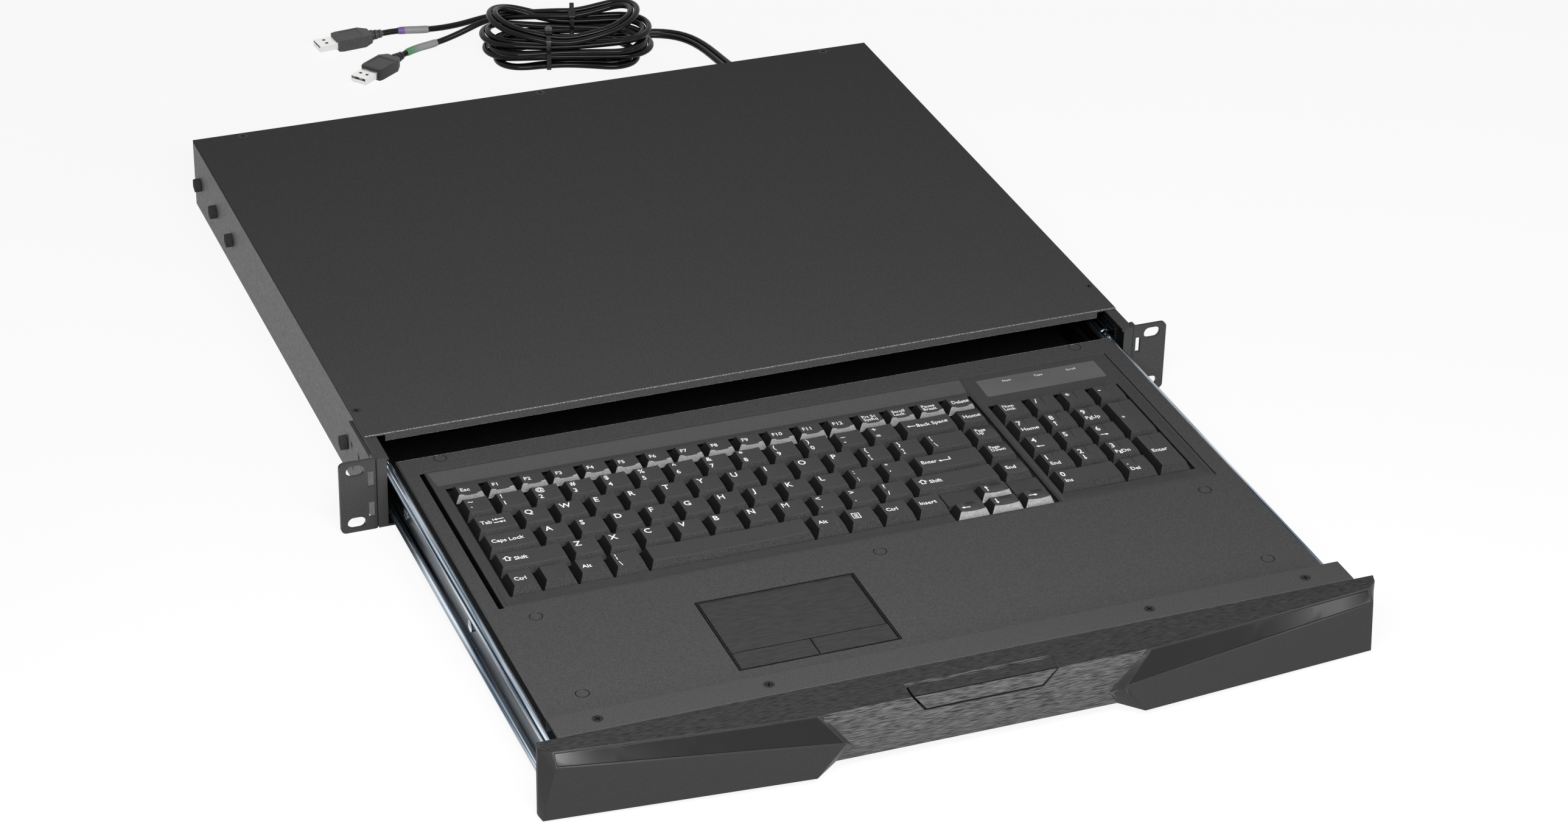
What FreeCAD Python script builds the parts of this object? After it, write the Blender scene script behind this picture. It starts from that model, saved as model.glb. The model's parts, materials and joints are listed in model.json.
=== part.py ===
import FreeCAD, Part
import math
import os

# Rack keyboard tray, drawn open. Millimetres, +X right, +Y to the rear, +Z up.
# The origin is the centre of the four rack slots, on the front face of the ears.

os.makedirs("parts", exist_ok=True)
V = FreeCAD.Vector

# Rack ears
rack_slot_spacing_z = 31.75
rack_slot_inset = 8.75
rack_slot_length = 10.0
rack_slot_height = 6.6
ear_flange_width = 20.65
ear_height = 42.8
ear_sheet = 2.0
ear_leg_depth = 48.0
ear_leg_inset = 2.9
ear_corner = 3.0
ear_window_width = 3.0
ear_window_height = 9.5
ear_window_z = 9.3
ear_screw_insets = (19.0, 5.0)
ear_screw_z = 6.5

# Chassis and cover
chassis_depth = 404.0
chassis_top = 20.8
chassis_sheet = 1.2
top_flange_width = 6.85
front_flange_clearance = 0.4
rear_flange_width = 12.0
cover_sheet = 1.2
cover_front = 23.4
cover_lip_depth = 5.0
cover_lip_clearance = 0.95
cover_screw_corner_inset = 30.25
cover_screw_rear_inset = 4.5
cover_screw_side_inset = 3.65
cover_screw_front_run = 28.6

# Countersunk screws
screw_head_radius = 2.9
screw_shank_radius = 1.5
screw_head_height = 1.2

# Ball slides
slide_width = 10.45
slide_setback = 18.5
slide_rear_gap = 5.5
slide_top_gap = 7.2
slide_floor_gap = 1.8
slide_sheet = 1.0
ball_radius = 1.5
race_clearance = 0.25
race_gap = 1.8
inner_lip_run = 1.1
outer_lip_overhang = 0.5
cage_sheet = 0.6
cage_play = 3.25
cage_curl_clearance = 0.35
balls_per_row = 3
bolt_across_flats = 8.0
bolt_head_height = 3.5
bolt_shank_radius = 2.5
bolt_front_y = 62.0
bolt_rear_insets = (90.0, 51.0, 13.0)
bolt_z = -2.5
member_screws_per_side = 3
member_screw_inset = 27.0
member_screw_head_radius = 3.2
member_screw_head_height = 1.6
member_screw_shank_radius = 1.6

# Tray pan and panel
tray_side_margin = 11.0
tray_sheet = 1.2
panel_drop = 6.8
panel_rear = 6.2
panel_lip = 8.0
pan_rise = 6.4
stud_radius = 3.5
stud_shank_radius = 2.0
stud_length = 6.0
stud_clearance = 0.1
stud_side_inset = 23.6
stud_rear_inset = 4.7
stud_frame_gap = 12.9
stud_bracket_gap = 24.5
support_post_radius = 4.0
support_post_x = (-150.0, 0.0, 150.0)
support_post_y = (-45.0, -115.0)

# Keyboard frame
frame_rear_inset = 16.3
frame_front_margin = 4.4
frame_clearance = 0.4
frame_left_gap = 2.8
frame_plate = 2.6
frame_wall = 2.0
frame_dish = 1.4
frame_rim = 1.6
dish_run = 4.5
well_clearance = 1.2
guide_plate_thick = 2.0
membrane_thick = 0.6
backplate_thick = 1.2
led_width = 72.0
led_depth = 18.0
led_rear_inset = 5.7
led_side_inset = 1.5
led_thick = 0.8

# Keys
key_pitch = 19.05
number_keys = 12
key_rows = 5
pad_columns = 4
key_gap = 0.6
key_rise = 1.6
key_height = 5.2
key_wall = 1.3
key_side_inset = 2.3
key_back_inset = 2.4
key_front_inset = 3.0
sloped_front_inset = 4.3
key_dish = 0.5
key_travel = 3.0
key_stop_gap = 0.4
key_stem = 4.0
key_stem_length = 6.2
stem_clearance = 0.3
block_margin = 8.0
pad_gap = 6.8
pad_margin = 7.5
nav_width = 17.7
tilde_width = 18.0
back_key_width = 33.2
tab_width = 24.9
caps_width = 29.7
shift_width = 39.2
ctrl_width = 17.1
arrow_width = 19.2
arrow_depth = 13.4
function_inset = 18.3
function_depth = 13.6
function_keys = 17
function_gap = 0.9

# Touchpad
touchpad_width = 85.5
touchpad_depth = 65.1
touchpad_centre_x = -63.75
touchpad_frame_gap = 27.3
touchpad_bracket_gap = 17.8
pad_button_depth = 14.5
pad_rim = 1.0
pad_rim_height = 0.2
pad_clearance = 0.3
pad_recess = 0.4
pad_plate = 1.4
pad_floor_thick = 1.2
pad_board_thick = 1.4
pad_flange = 2.5
button_thick = 1.9
switch_size = 6.0
switch_height = 0.5

# Front bracket
bracket_rise = 7.5
bracket_overhang = 3.0
bracket_depth = 17.7
bracket_sheet = 1.2
bracket_screw_inset = 20.0
bracket_screw_inner_x = 101.6
bracket_screw_length = 10.0

# Bezel: drops are measured down from its back top edge, depths forward from its back
bezel_overhang = 2.1
bezel_closed_gap = 0.7
bezel_top_drop = 0.3
bezel_hang = 4.6
bezel_wall = 2.2
centre_crease_depth = 22.0
crease_drop = 2.0
end_crease_depth = 6.6
crease_bow = 1.15
centre_face_half_width = 68.3
centre_face_low_depth = 18.5
centre_face_low_drop = 25.1
centre_under_run = 6.8
centre_under_depth = 14.9
centre_under_drop = 35.2
crease_step_run = 20.0
inlay_step_run = 5.9
inlay_inner_low_depth = 24.7
inlay_inner_low_drop = 19.0
inlay_end_low_depth = 12.2
inlay_end_low_drop = 7.9
wing_step_run = 12.4
wing_low_depth = 21.9
wing_low_drop = 38.1
wing_end_low_depth = 7.2
end_facet_run = 5.65
end_facet_low_run = 0.75
end_facet_depth = 2.5
inlay_margin = 1.0
inlay_inner_margin = 0.8
inlay_thick = 0.8
inlay_clearance = 0.1
rib_first_gap = 26.7
rib_pitch = 35.0
rib_count = 3
rib_thick = 1.6

# Release lever
lever_top_half_width = 38.5
lever_low_half_width = 30.9
lever_low_drop = 11.5
lever_gap = 0.8
lever_back_depth = 13.0
lever_back_gap = 2.0
lever_wall = 2.0
lever_front_wall = 3.2
lever_pivot_depth = 15.0
lever_pivot_drop = 10.7
lever_pin_radius = 1.0
lever_pin_clearance = 0.3
lever_ear_x = 24.0
lever_ear_thick = 3.0
lever_ear_margin = 0.8
lever_boss_gap = 3.5
lever_boss_thick = 2.5
lever_boss_reach = 1.2
spring_width = 12.0
spring_sheet = 0.5
spring_reach = 10.5

# Cords
cord_radius = 2.0
cord_arc_share = 0.45
gland_x = 158.0
gland_z = -4.0
gland_length = 14.0
gland_flange_radius = 9.0
gland_flange_thick = 2.0
gland_neck_radius = 7.0
gland_tip_radius = 5.6
floor_z = -ear_height / 2
coil_centre = V(60.6, 534.0, floor_z)
coil_half_length = 57.5
coil_half_width = 38.0
coil_height = 25.0
coil_turn = -17.0
coil_chamfer = 6.0
tie_width = 3.6
tie_thick = 1.2
tie_places = ((-18.0, -23.0), (6.0, 23.0))
tie_bundle_width = 26.0
tie_bundle_height = 22.0

# Plugs
plug_shell_length = 13.0
plug_shell_width = 12.0
plug_shell_height = 4.5
plug_shell_wall = 0.4
plug_tongue_thick = 1.8
plug_window = 2.2
plug_window_x = 6.0
plug_window_y = 2.6
plug_body_length = 25.0
plug_body_width = 16.0
plug_body_height = 8.0
plug_nose = 3.0
plug_nose_inset = 0.6
plug_nose_drop = 0.15
plug_tail = 6.0
plug_tail_inset = 3.0
plug_tail_drop = 0.8
plug_relief_length = 9.0
plug_relief_radius = 3.6
relief_grooves = 3
relief_ring_share = 0.6
plug_lift = 4.1
keyboard_plug_tip = V(-92.1, 594.8, floor_z + plug_lift)
keyboard_plug_turn = 7.2
mouse_plug_tip = V(-80.6, 535.2, floor_z + plug_lift)
mouse_plug_turn = 36.4
sleeve_wall = 0.5
sleeve_clearance = 0.4
sleeve_share = 0.76

# Cord routes, chosen by hand
lead_mouse_route = [
    V(155.7, 418.0, -4.0),
    V(155.7, 431.0, -4.0),
    V(154.8, 463.0, -17.2),
    V(153.2, 479.0, -19.1),
    V(144.8, 510.5, -19.0),
    V(134.8, 524.0, -19.1),
    V(118.5, 534.0, -19.0),
    V(101.0, 536.6, -17.5),
]
lead_keyboard_route = [
    V(160.3, 418.0, -4.0),
    V(160.3, 431.0, -4.0),
    V(159.6, 464.0, -17.2),
    V(158.0, 480.5, -19.1),
    V(148.8, 514.0, -19.0),
    V(138.0, 528.5, -19.1),
    V(121.0, 539.6, -19.0),
    V(103.0, 542.8, -17.5),
]
tail_keyboard_route = [
    V(-45.47, 600.69, -17.3),
    V(-34.56, 602.07, -17.3),
    V(-13.8, 597.0, -17.7),
    V(3.0, 588.0, -14.3),
    V(17.0, 577.5, -9.5),
    V(29.0, 569.5, -7.5),
]
tail_mouse_route = [
    V(-42.77, 563.09, -17.3),
    V(-33.91, 569.62, -17.3),
    V(-15.0, 575.2, -17.7),
    V(1.0, 575.2, -14.2),
    V(15.5, 572.3, -9.5),
    V(26.5, 564.8, -7.5),
]

# Widths, from the keys out to the rack ears
block_width = tilde_width + number_keys * key_pitch + back_key_width + nav_width
frame_half_width = (block_margin + block_width + pad_gap + pad_columns * key_pitch + pad_margin) / 2
tray_half = frame_half_width + tray_side_margin
tray_width = 2 * tray_half
wall_inside = tray_half + slide_width
chassis_half = wall_inside + chassis_sheet
ear_tip = chassis_half + ear_flange_width
rack_slot_x = ear_tip - rack_slot_inset
bracket_half_width = tray_half + bracket_overhang
bezel_half = chassis_half + bezel_overhang
block_left = block_margin - frame_half_width
block_right = block_left + block_width
nav_left = block_right - nav_width
arrow_left = nav_left - 2 * arrow_width
pad_left = block_right + pad_gap
pad_right = pad_left + pad_columns * key_pitch
led_right = pad_right - led_side_inset

# Heights, from the chassis down to the keyboard's back
chassis_bottom = floor_z
cover_top = chassis_top + cover_sheet
panel_top = chassis_top - panel_drop
panel_under = panel_top - tray_sheet
pan_bottom = chassis_bottom + pan_rise
well_floor = panel_top - frame_plate
key_top = panel_top + key_rise
key_base = key_top - key_height
key_stem_bottom = key_base - key_stem_length
guide_plate_top = key_base - key_travel - key_stop_gap
membrane_top = key_stem_bottom - key_travel - key_stop_gap
backplate_top = membrane_top - membrane_thick
bracket_top = panel_top + bracket_rise
bezel_back_top = bracket_top - bezel_top_drop
bezel_bottom = pan_bottom - bezel_hang
crease_z = bezel_back_top - crease_drop
lever_low_z = bezel_back_top - lever_low_drop

# Depths, from the tray's rear edge forward to the bezel, which sets the travel of the slides
frame_rear = panel_rear - frame_rear_inset
function_rear = frame_rear - function_inset
rows_rear = function_rear - function_depth - function_gap
rows_front = rows_rear - key_rows * key_pitch
arrow_rear = rows_rear - (key_rows - 1) * key_pitch
arrow_middle = arrow_rear - arrow_depth
arrow_front = arrow_middle - arrow_depth
frame_front = arrow_front - frame_front_margin
led_rear = frame_rear - led_rear_inset
touchpad_rear = frame_front - touchpad_frame_gap
touchpad_front = touchpad_rear - touchpad_depth
bracket_rear = touchpad_front - touchpad_bracket_gap
bracket_front = bracket_rear - bracket_depth
panel_front = bracket_front + bracket_sheet
bezel_back = bracket_front
slide_travel = -bezel_back - bezel_closed_gap
lever_pivot = V(0, bezel_back - lever_pivot_depth, bezel_back_top - lever_pivot_drop)

# Slides: where the balls run and how far each member reaches
slide_high = chassis_top - chassis_sheet - slide_top_gap
slide_low = chassis_bottom + chassis_sheet + slide_floor_gap
slide_centre_z = (slide_high + slide_low) / 2
race_radius = ball_radius + race_clearance
race_outside = race_radius + slide_sheet
race_half_chord = math.sqrt(race_radius ** 2 - (race_gap / 2) ** 2)
ball_offset = (slide_high - slide_low) / 2 - race_outside
outer_lip_x = tray_half + slide_sheet
ball_x = outer_lip_x + outer_lip_overhang + race_half_chord
inner_lip_x = ball_x + race_half_chord + inner_lip_run
slide_length = chassis_depth - slide_setback - slide_rear_gap
member_front = panel_front + bezel_closed_gap
member_rear = member_front + slide_length
cage_front = slide_setback + cage_play
cage_length = member_rear - slide_setback - 2 * cage_play


def box(x0, x1, y0, y1, z0, z1):
    return Part.makeBox(x1 - x0, y1 - y0, z1 - z0, V(x0, y0, z0))


def rod(radius, length, start, axis):
    return Part.makeCylinder(radius, length, start, axis)


def mirrored(shape):
    return shape.mirror(V(0, 0, 0), V(1, 0, 0))


def both_sides(shape):
    return [shape, mirrored(shape)]


def fused(shapes):
    return shapes[0].multiFuse(shapes[1:]).removeSplitter()


def folded_sheet(points, thickness, length):
    """A bent sheet: an open outline given its thickness, then drawn out along one direction."""
    face = Part.makePolygon(points).makeOffset2D(thickness, join=0, fill=True, openResult=True)
    return face.extrude(length)


def prism(points, length):
    return Part.Face(Part.makePolygon(points + points[:1])).extrude(length)


def save(name, shapes):
    shape = shapes[0] if len(shapes) == 1 else Part.makeCompound(shapes)
    shape.exportStep("parts/" + name + ".step")


def countersunk_screw(top, axis, length):
    """Screw with a flush conical head; axis points into the work."""
    head = Part.makeCone(screw_head_radius, screw_shank_radius, screw_head_height, top, axis)
    shank = rod(screw_shank_radius, length - screw_head_height, top + axis * screw_head_height, axis)
    return head.fuse(shank).removeSplitter()


def cut_screws(shape, screws):
    for screw in screws:
        shape = shape.cut(screw)
    return shape


# Screws and bolts come first, because the sheets they hold are cut to them
def place_cover_screws():
    down = V(0, 0, -1)
    rear_y = chassis_depth - cover_screw_rear_inset
    front_y = cover_front + cover_screw_front_run
    corner_x = chassis_half - cover_screw_corner_inset
    side_x = chassis_half - cover_screw_side_inset
    places = [(x, rear_y) for x in (-corner_x, 0.0, corner_x)]
    places += [(-side_x, front_y), (side_x, front_y)]
    return [countersunk_screw(V(x, y, cover_top), down, cover_sheet + chassis_sheet) for x, y in places]


def place_ear_screws():
    inward = V(-1, 0, 0)
    length = ear_sheet + chassis_sheet
    screws = []
    for inset in ear_screw_insets:
        for z in (-ear_screw_z, ear_screw_z):
            screw = countersunk_screw(V(chassis_half + ear_sheet, ear_leg_depth - inset, z), inward, length)
            screws += both_sides(screw)
    return screws


def hex_bolt(y):
    radius = bolt_across_flats / math.sqrt(3)
    corners = []
    for i in range(6):
        turn = math.radians(60 * i + 30)
        corners.append(V(chassis_half, y + radius * math.cos(turn), bolt_z + radius * math.sin(turn)))
    head = prism(corners, V(bolt_head_height, 0, 0))
    length = chassis_sheet + slide_sheet
    shank = rod(bolt_shank_radius, length, V(chassis_half - length, y, bolt_z), V(1, 0, 0))
    return head.fuse(shank)


cover_screws = place_cover_screws()
ear_screws = place_ear_screws()
bolt_places = [bolt_front_y] + [chassis_depth - inset for inset in bolt_rear_insets]
right_bolts = [hex_bolt(y) for y in bolt_places]
slide_bolts = [side for bolt in right_bolts for side in both_sides(bolt)]


# Chassis: floor and sides are one folded sheet, with a rear wall and inward flanges
def make_chassis_base():
    flange_inner = chassis_half - top_flange_width
    outline = [
        V(-flange_inner, 0, chassis_top),
        V(-chassis_half, 0, chassis_top),
        V(-chassis_half, 0, chassis_bottom),
        V(chassis_half, 0, chassis_bottom),
        V(chassis_half, 0, chassis_top),
        V(flange_inner, 0, chassis_top),
    ]
    body = [folded_sheet(outline, chassis_sheet, V(0, chassis_depth, 0))]
    rear_inside = chassis_depth - chassis_sheet
    body.append(box(-chassis_half, chassis_half, rear_inside, chassis_depth, chassis_bottom, chassis_top))
    rear_lip = chassis_depth - rear_flange_width
    lip_under = chassis_top - chassis_sheet
    body.append(box(-chassis_half, chassis_half, rear_lip, chassis_depth, lip_under, chassis_top))
    flange_x = inner_lip_x + front_flange_clearance
    body += both_sides(box(flange_x, chassis_half, 0, chassis_sheet, chassis_bottom, chassis_top))
    shape = fused(body)
    gland_hole = rod(gland_neck_radius, chassis_sheet, V(gland_x, rear_inside, gland_z), V(0, 1, 0))
    return cut_screws(shape.cut(gland_hole), cover_screws + ear_screws + slide_bolts)


def make_top_cover():
    plate = box(-chassis_half, chassis_half, cover_front, chassis_depth, chassis_top, cover_top)
    lip_half = outer_lip_x - cover_lip_clearance
    lip_outline = [
        V(-lip_half, cover_front, cover_top - cover_lip_depth),
        V(-lip_half, cover_front, cover_top),
        V(-lip_half, cover_front + 2 * cover_lip_depth, cover_top),
    ]
    lip = folded_sheet(lip_outline, cover_sheet, V(2 * lip_half, 0, 0))
    return cut_screws(fused([plate, lip]), cover_screws)


# Rack ears: folded angle with two rack slots and two windows at the bend
def rack_slot(x, z):
    half_run = (rack_slot_length - rack_slot_height) / 2
    radius = rack_slot_height / 2
    middle = box(x - half_run, x + half_run, 0, ear_sheet, z - radius, z + radius)
    ends = [rod(radius, ear_sheet, V(x + end, 0, z), V(0, 1, 0)) for end in (-half_run, half_run)]
    return fused([middle] + ends)


def make_rack_ear():
    outside = chassis_half + ear_sheet
    bottom = -ear_height / 2
    outline = [V(outside, ear_leg_depth, bottom), V(outside, ear_sheet, bottom), V(ear_tip, ear_sheet, bottom)]
    ear = folded_sheet(outline, ear_sheet, V(0, 0, ear_height))
    tip_edges = [e for e in ear.Edges if e.BoundBox.XMin > ear_tip - ear_sheet / 2]
    ear = ear.makeFillet(ear_corner, [e for e in tip_edges if e.BoundBox.YLength > ear_sheet / 2])
    leg_front = 3 * ear_sheet
    leg_half_height = ear_height / 2 - ear_leg_inset
    for side in (-1, 1):
        z0, z1 = sorted((side * leg_half_height, side * ear_height))
        ear = ear.cut(box(0, outside, leg_front, ear_leg_depth, z0, z1))
        window_z = side * ear_window_z - ear_window_height / 2
        window_end = outside + ear_window_width
        ear = ear.cut(box(outside, window_end, 0, ear_sheet, window_z, window_z + ear_window_height))
        ear = ear.cut(rack_slot(rack_slot_x, side * rack_slot_spacing_z / 2))
    return ear


# Slides: a curl in each flange makes a race, and the balls run between two facing curls
def race_curl(facing, z, y, length):
    """Half-open tube over (facing 1) or under (facing -1) the balls of one row."""
    start = V(ball_x, y, z)
    tube = rod(race_outside, length, start, V(0, 1, 0)).cut(rod(race_radius, length, start, V(0, 1, 0)))
    z0, z1 = sorted((z + facing * race_gap / 2, z + facing * 2 * race_outside))
    return tube.common(box(ball_x - race_outside, ball_x + race_outside, y, y + length, z0, z1))


def slide_member(web_x, y, flange_spans, faces_in):
    """Channel with a web at web_x and a curled flange at the top and the bottom."""
    pieces = []
    flange_offset = ball_offset + faces_in * race_gap / 2
    web_end = flange_offset + faces_in * slide_sheet if faces_in > 0 else flange_offset
    web_low = slide_centre_z - web_end
    pieces.append(box(web_x, web_x + slide_sheet, y, y + slide_length, web_low, slide_centre_z + web_end))
    for side in (-1, 1):
        row_z = slide_centre_z + side * ball_offset
        pieces.append(race_curl(side * faces_in, row_z, y, slide_length))
        z0, z1 = sorted((
            slide_centre_z + side * flange_offset,
            slide_centre_z + side * (flange_offset + faces_in * slide_sheet),
        ))
        pieces += [box(x0, x1, y, y + slide_length, z0, z1) for x0, x1 in flange_spans]
    return fused(pieces)


def make_slide_outer():
    web_x = wall_inside - slide_sheet
    spans = [(ball_x + race_half_chord, web_x), (outer_lip_x, ball_x - race_half_chord)]
    return cut_screws(slide_member(web_x, slide_setback, spans, 1), right_bolts)


def member_screw(y):
    web_face = tray_half + slide_sheet
    length = slide_sheet + tray_sheet
    head = rod(member_screw_head_radius, member_screw_head_height, V(web_face, y, slide_centre_z), V(1, 0, 0))
    shank = rod(member_screw_shank_radius, length, V(web_face - length, y, slide_centre_z), V(1, 0, 0))
    return head.fuse(shank)


def member_screw_places():
    first = panel_front + member_screw_inset
    last = panel_rear - member_screw_inset
    step = (last - first) / (member_screws_per_side - 1)
    return [first + i * step for i in range(member_screws_per_side)]


right_member_screws = [member_screw(y) for y in member_screw_places()]
slide_screws = [side for screw in right_member_screws for side in both_sides(screw)]


def make_slide_inner():
    spans = [(tray_half, ball_x - race_half_chord), (ball_x + race_half_chord, inner_lip_x)]
    return cut_screws(slide_member(tray_half, member_front, spans, -1), right_member_screws)


def row_balls():
    pitch = cage_length / balls_per_row
    centres = []
    for side in (-1, 1):
        for i in range(balls_per_row):
            y = cage_front + pitch * (i + 0.5)
            centres.append(V(ball_x, y, slide_centre_z + side * ball_offset))
    return centres


def make_bearing_balls():
    return [Part.makeSphere(ball_radius, centre) for centre in row_balls()]


def make_ball_cage():
    web_x = ball_x + race_outside + cage_curl_clearance
    leg_inner = ball_x - race_half_chord
    top = ball_offset + cage_sheet / 2
    outline = [
        V(leg_inner, cage_front, slide_centre_z + top),
        V(web_x + cage_sheet, cage_front, slide_centre_z + top),
        V(web_x + cage_sheet, cage_front, slide_centre_z - top),
        V(leg_inner, cage_front, slide_centre_z - top),
    ]
    cage = folded_sheet(outline, -cage_sheet, V(0, cage_length, 0))
    for centre in row_balls():
        hole_start = centre - V(0, 0, cage_sheet)
        cage = cage.cut(rod(race_radius, 2 * cage_sheet, hole_start, V(0, 0, 1)))
    return cage


# Tray: a folded pan with a rear wall, closed by the panel on top
def make_tray_pan():
    outline = [
        V(-tray_half, panel_front, panel_under),
        V(-tray_half, panel_front, pan_bottom),
        V(tray_half, panel_front, pan_bottom),
        V(tray_half, panel_front, panel_under),
    ]
    rear = panel_rear - tray_sheet
    pan = folded_sheet(outline, tray_sheet, V(0, rear - panel_front, 0))
    wall = box(-tray_half, tray_half, rear - tray_sheet, rear, pan_bottom, panel_under)
    pieces = [pan, wall]
    post_low = pan_bottom + tray_sheet
    post_high = backplate_top - backplate_thick
    for x in support_post_x:
        for y in support_post_y:
            pieces.append(rod(support_post_radius, post_high - post_low, V(x, y, post_low), V(0, 0, 1)))
    return cut_screws(fused(pieces), slide_screws)


def stud_places():
    middle_row = frame_front - stud_frame_gap
    rows = (panel_rear - stud_rear_inset, middle_row, bracket_rear + stud_bracket_gap)
    side_x = tray_half - stud_side_inset
    places = [(side * side_x, y) for y in rows for side in (-1, 1)]
    return places + [(0.0, middle_row)]


def make_panel_studs():
    studs = []
    for x, y in stud_places():
        head = rod(stud_radius, tray_sheet, V(x, y, panel_under), V(0, 0, 1))
        shank = rod(stud_shank_radius, stud_length, V(x, y, panel_under - stud_length), V(0, 0, 1))
        studs.append(head.fuse(shank))
    return studs


def place_bracket_screws():
    y = (bracket_front + bracket_rear) / 2
    screws = []
    for x in (bracket_screw_inner_x, tray_half - bracket_screw_inset):
        screws += both_sides(countersunk_screw(V(x, y, bracket_top), V(0, 0, -1), bracket_screw_length))
    return screws


bracket_screws = place_bracket_screws()


def touchpad_edges():
    half = touchpad_width / 2
    return touchpad_centre_x - half, touchpad_centre_x + half, touchpad_front, touchpad_rear


def make_tray_panel():
    outline = [
        V(-tray_half, panel_front, panel_top),
        V(-tray_half, panel_rear, panel_top),
        V(-tray_half, panel_rear, panel_top - panel_lip),
    ]
    panel = folded_sheet(outline, tray_sheet, V(tray_width, 0, 0))
    gap = frame_clearance
    cut_half = frame_half_width + gap
    panel = panel.cut(box(-frame_half_width - frame_left_gap, cut_half, frame_front - gap, frame_rear + gap,
                          panel_under, panel_top))
    x0, x1, y0, y1 = touchpad_edges()
    panel = panel.cut(box(x0 - gap, x1 + gap, y0 - gap, y1 + gap, panel_under, panel_top))
    for x, y in stud_places():
        panel = panel.cut(rod(stud_radius + stud_clearance, tray_sheet, V(x, y, panel_under), V(0, 0, 1)))
    return cut_screws(panel, bracket_screws)


# Key layout: each key is (left, right, rear, front)
def key_row(row):
    rear = rows_rear - row * key_pitch
    return rear, rear - key_pitch


def letter_row(row, first_width, letters):
    """Wide first key, then letters at the pitch, then a last key that fills up to the side column."""
    rear, front = key_row(row)
    start = block_left + first_width
    edges = [block_left] + [start + i * key_pitch for i in range(letters + 1)] + [nav_left]
    return [(edges[i], edges[i + 1], rear, front) for i in range(len(edges) - 1)]


def function_row():
    step = block_width / function_keys
    front = function_rear - function_depth
    lefts = [block_left + i * step for i in range(function_keys)]
    return [(left, left + step, function_rear, front) for left in lefts]


def bottom_row():
    rear, front = key_row(4)
    keys = [(block_left, block_left + ctrl_width, rear, front)]
    left_group = block_left + ctrl_width
    right_group = arrow_left - 4 * key_pitch
    for start, count in ((left_group, 3), (right_group, 4)):
        keys += [(start + i * key_pitch, start + (i + 1) * key_pitch, rear, front) for i in range(count)]
    return keys


def space_key():
    rear, front = key_row(4)
    return [(block_left + ctrl_width + 3 * key_pitch, arrow_left - 4 * key_pitch, rear, front)]


def navigation_column():
    return [(nav_left, block_right) + key_row(row) for row in range(4)]


def arrow_cluster():
    middle = arrow_left + arrow_width
    return [
        (arrow_left, middle, arrow_middle, arrow_front),
        (middle, nav_left, arrow_rear, arrow_middle),
        (middle, nav_left, arrow_middle, arrow_front),
        (nav_left, block_right, arrow_middle, arrow_front),
    ]


def number_pad():
    column = [pad_left + i * key_pitch for i in range(5)]
    keys = [(column[i], column[i + 1]) + key_row(0) for i in range(4)]
    for row in (1, 2, 3):
        keys += [(column[i], column[i + 1]) + key_row(row) for i in range(3)]
    for row in (1, 3):
        keys.append((column[3], column[4], key_row(row)[0], key_row(row + 1)[1]))
    keys.append((column[0], column[2]) + key_row(4))
    keys.append((column[2], column[3]) + key_row(4))
    return keys


sloped_groups = ("keys_function_row", "keys_arrows")
key_groups = {
    "keys_function_row": function_row(),
    "keys_number_row": letter_row(0, tilde_width, number_keys),
    "keys_upper_row": letter_row(1, tab_width, number_keys),
    "keys_home_row": letter_row(2, caps_width, number_keys - 1),
    "keys_lower_row": letter_row(3, shift_width, number_keys - 2),
    "keys_bottom_row": bottom_row(),
    "key_space": space_key(),
    "keys_navigation": navigation_column(),
    "keys_arrows": arrow_cluster(),
    "keys_number_pad": number_pad(),
}
all_keys = [key for group in key_groups.values() for key in group]


def tapered_box(low, high, z0, z1):
    """Box with flat sloping sides; low and high are (x0, x1, y0, y1) at its bottom and its top."""
    x0, x1, y0, y1 = low
    top_x0, top_x1, top_y0, top_y1 = high
    wedge = Part.makeWedge(x0, z0, -y1, -top_y1, top_x0, x1, z1, -y0, -top_y0, top_x1)
    wedge.rotate(V(0, 0, 0), V(1, 0, 0), 90)
    return wedge


def keycap(left, right, rear, front, front_inset):
    """Hollow tapered cap with a shallow cylindrical dish on top and a square stem."""
    half_gap = key_gap / 2
    x0 = left + half_gap
    x1 = right - half_gap
    y0 = front + half_gap
    y1 = rear - half_gap
    top = (x0 + key_side_inset, x1 - key_side_inset, y0 + front_inset, y1 - key_back_inset)
    cap = tapered_box((x0, x1, y0, y1), top, key_base, key_top)
    middle = (x0 + x1) / 2
    half_top = middle - top[0]
    radius = (half_top ** 2 + key_dish ** 2) / (2 * key_dish)
    cap = cap.cut(rod(radius, y1 - y0, V(middle, y0, key_top - key_dish + radius), V(0, 1, 0)))
    wall = key_wall
    hollow_top = key_top - 2 * wall
    inner_base = (x0 + wall, x1 - wall, y0 + wall, y1 - wall)
    inner_top = (top[0] + wall, top[1] - wall, top[2] + wall, top[3] - wall)
    cap = cap.cut(tapered_box(inner_base, inner_top, key_base, hollow_top))
    half_stem = key_stem / 2
    cy = (y0 + y1) / 2
    stem = box(middle - half_stem, middle + half_stem, cy - half_stem, cy + half_stem,
               key_stem_bottom, hollow_top)
    return fused([cap, stem])


# Keyboard frame: shallow dished plate with two key wells and a wall round the edge
def well_prism(x0, x1, y0, y1):
    grow = well_clearance
    return box(x0 - grow, x1 + grow, y0 - grow, y1 + grow, well_floor, panel_top)


def dished(x0, x1, y0, y1, well):
    """Recess whose floor meets the key well and whose sides slope up to the frame's rim."""
    return tapered_box(well, (x0, x1, y0, y1), panel_top - frame_dish, panel_top)


def led_box(thick):
    return box(led_right - led_width, led_right, led_rear - led_depth, led_rear, panel_top - thick, panel_top)


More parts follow.
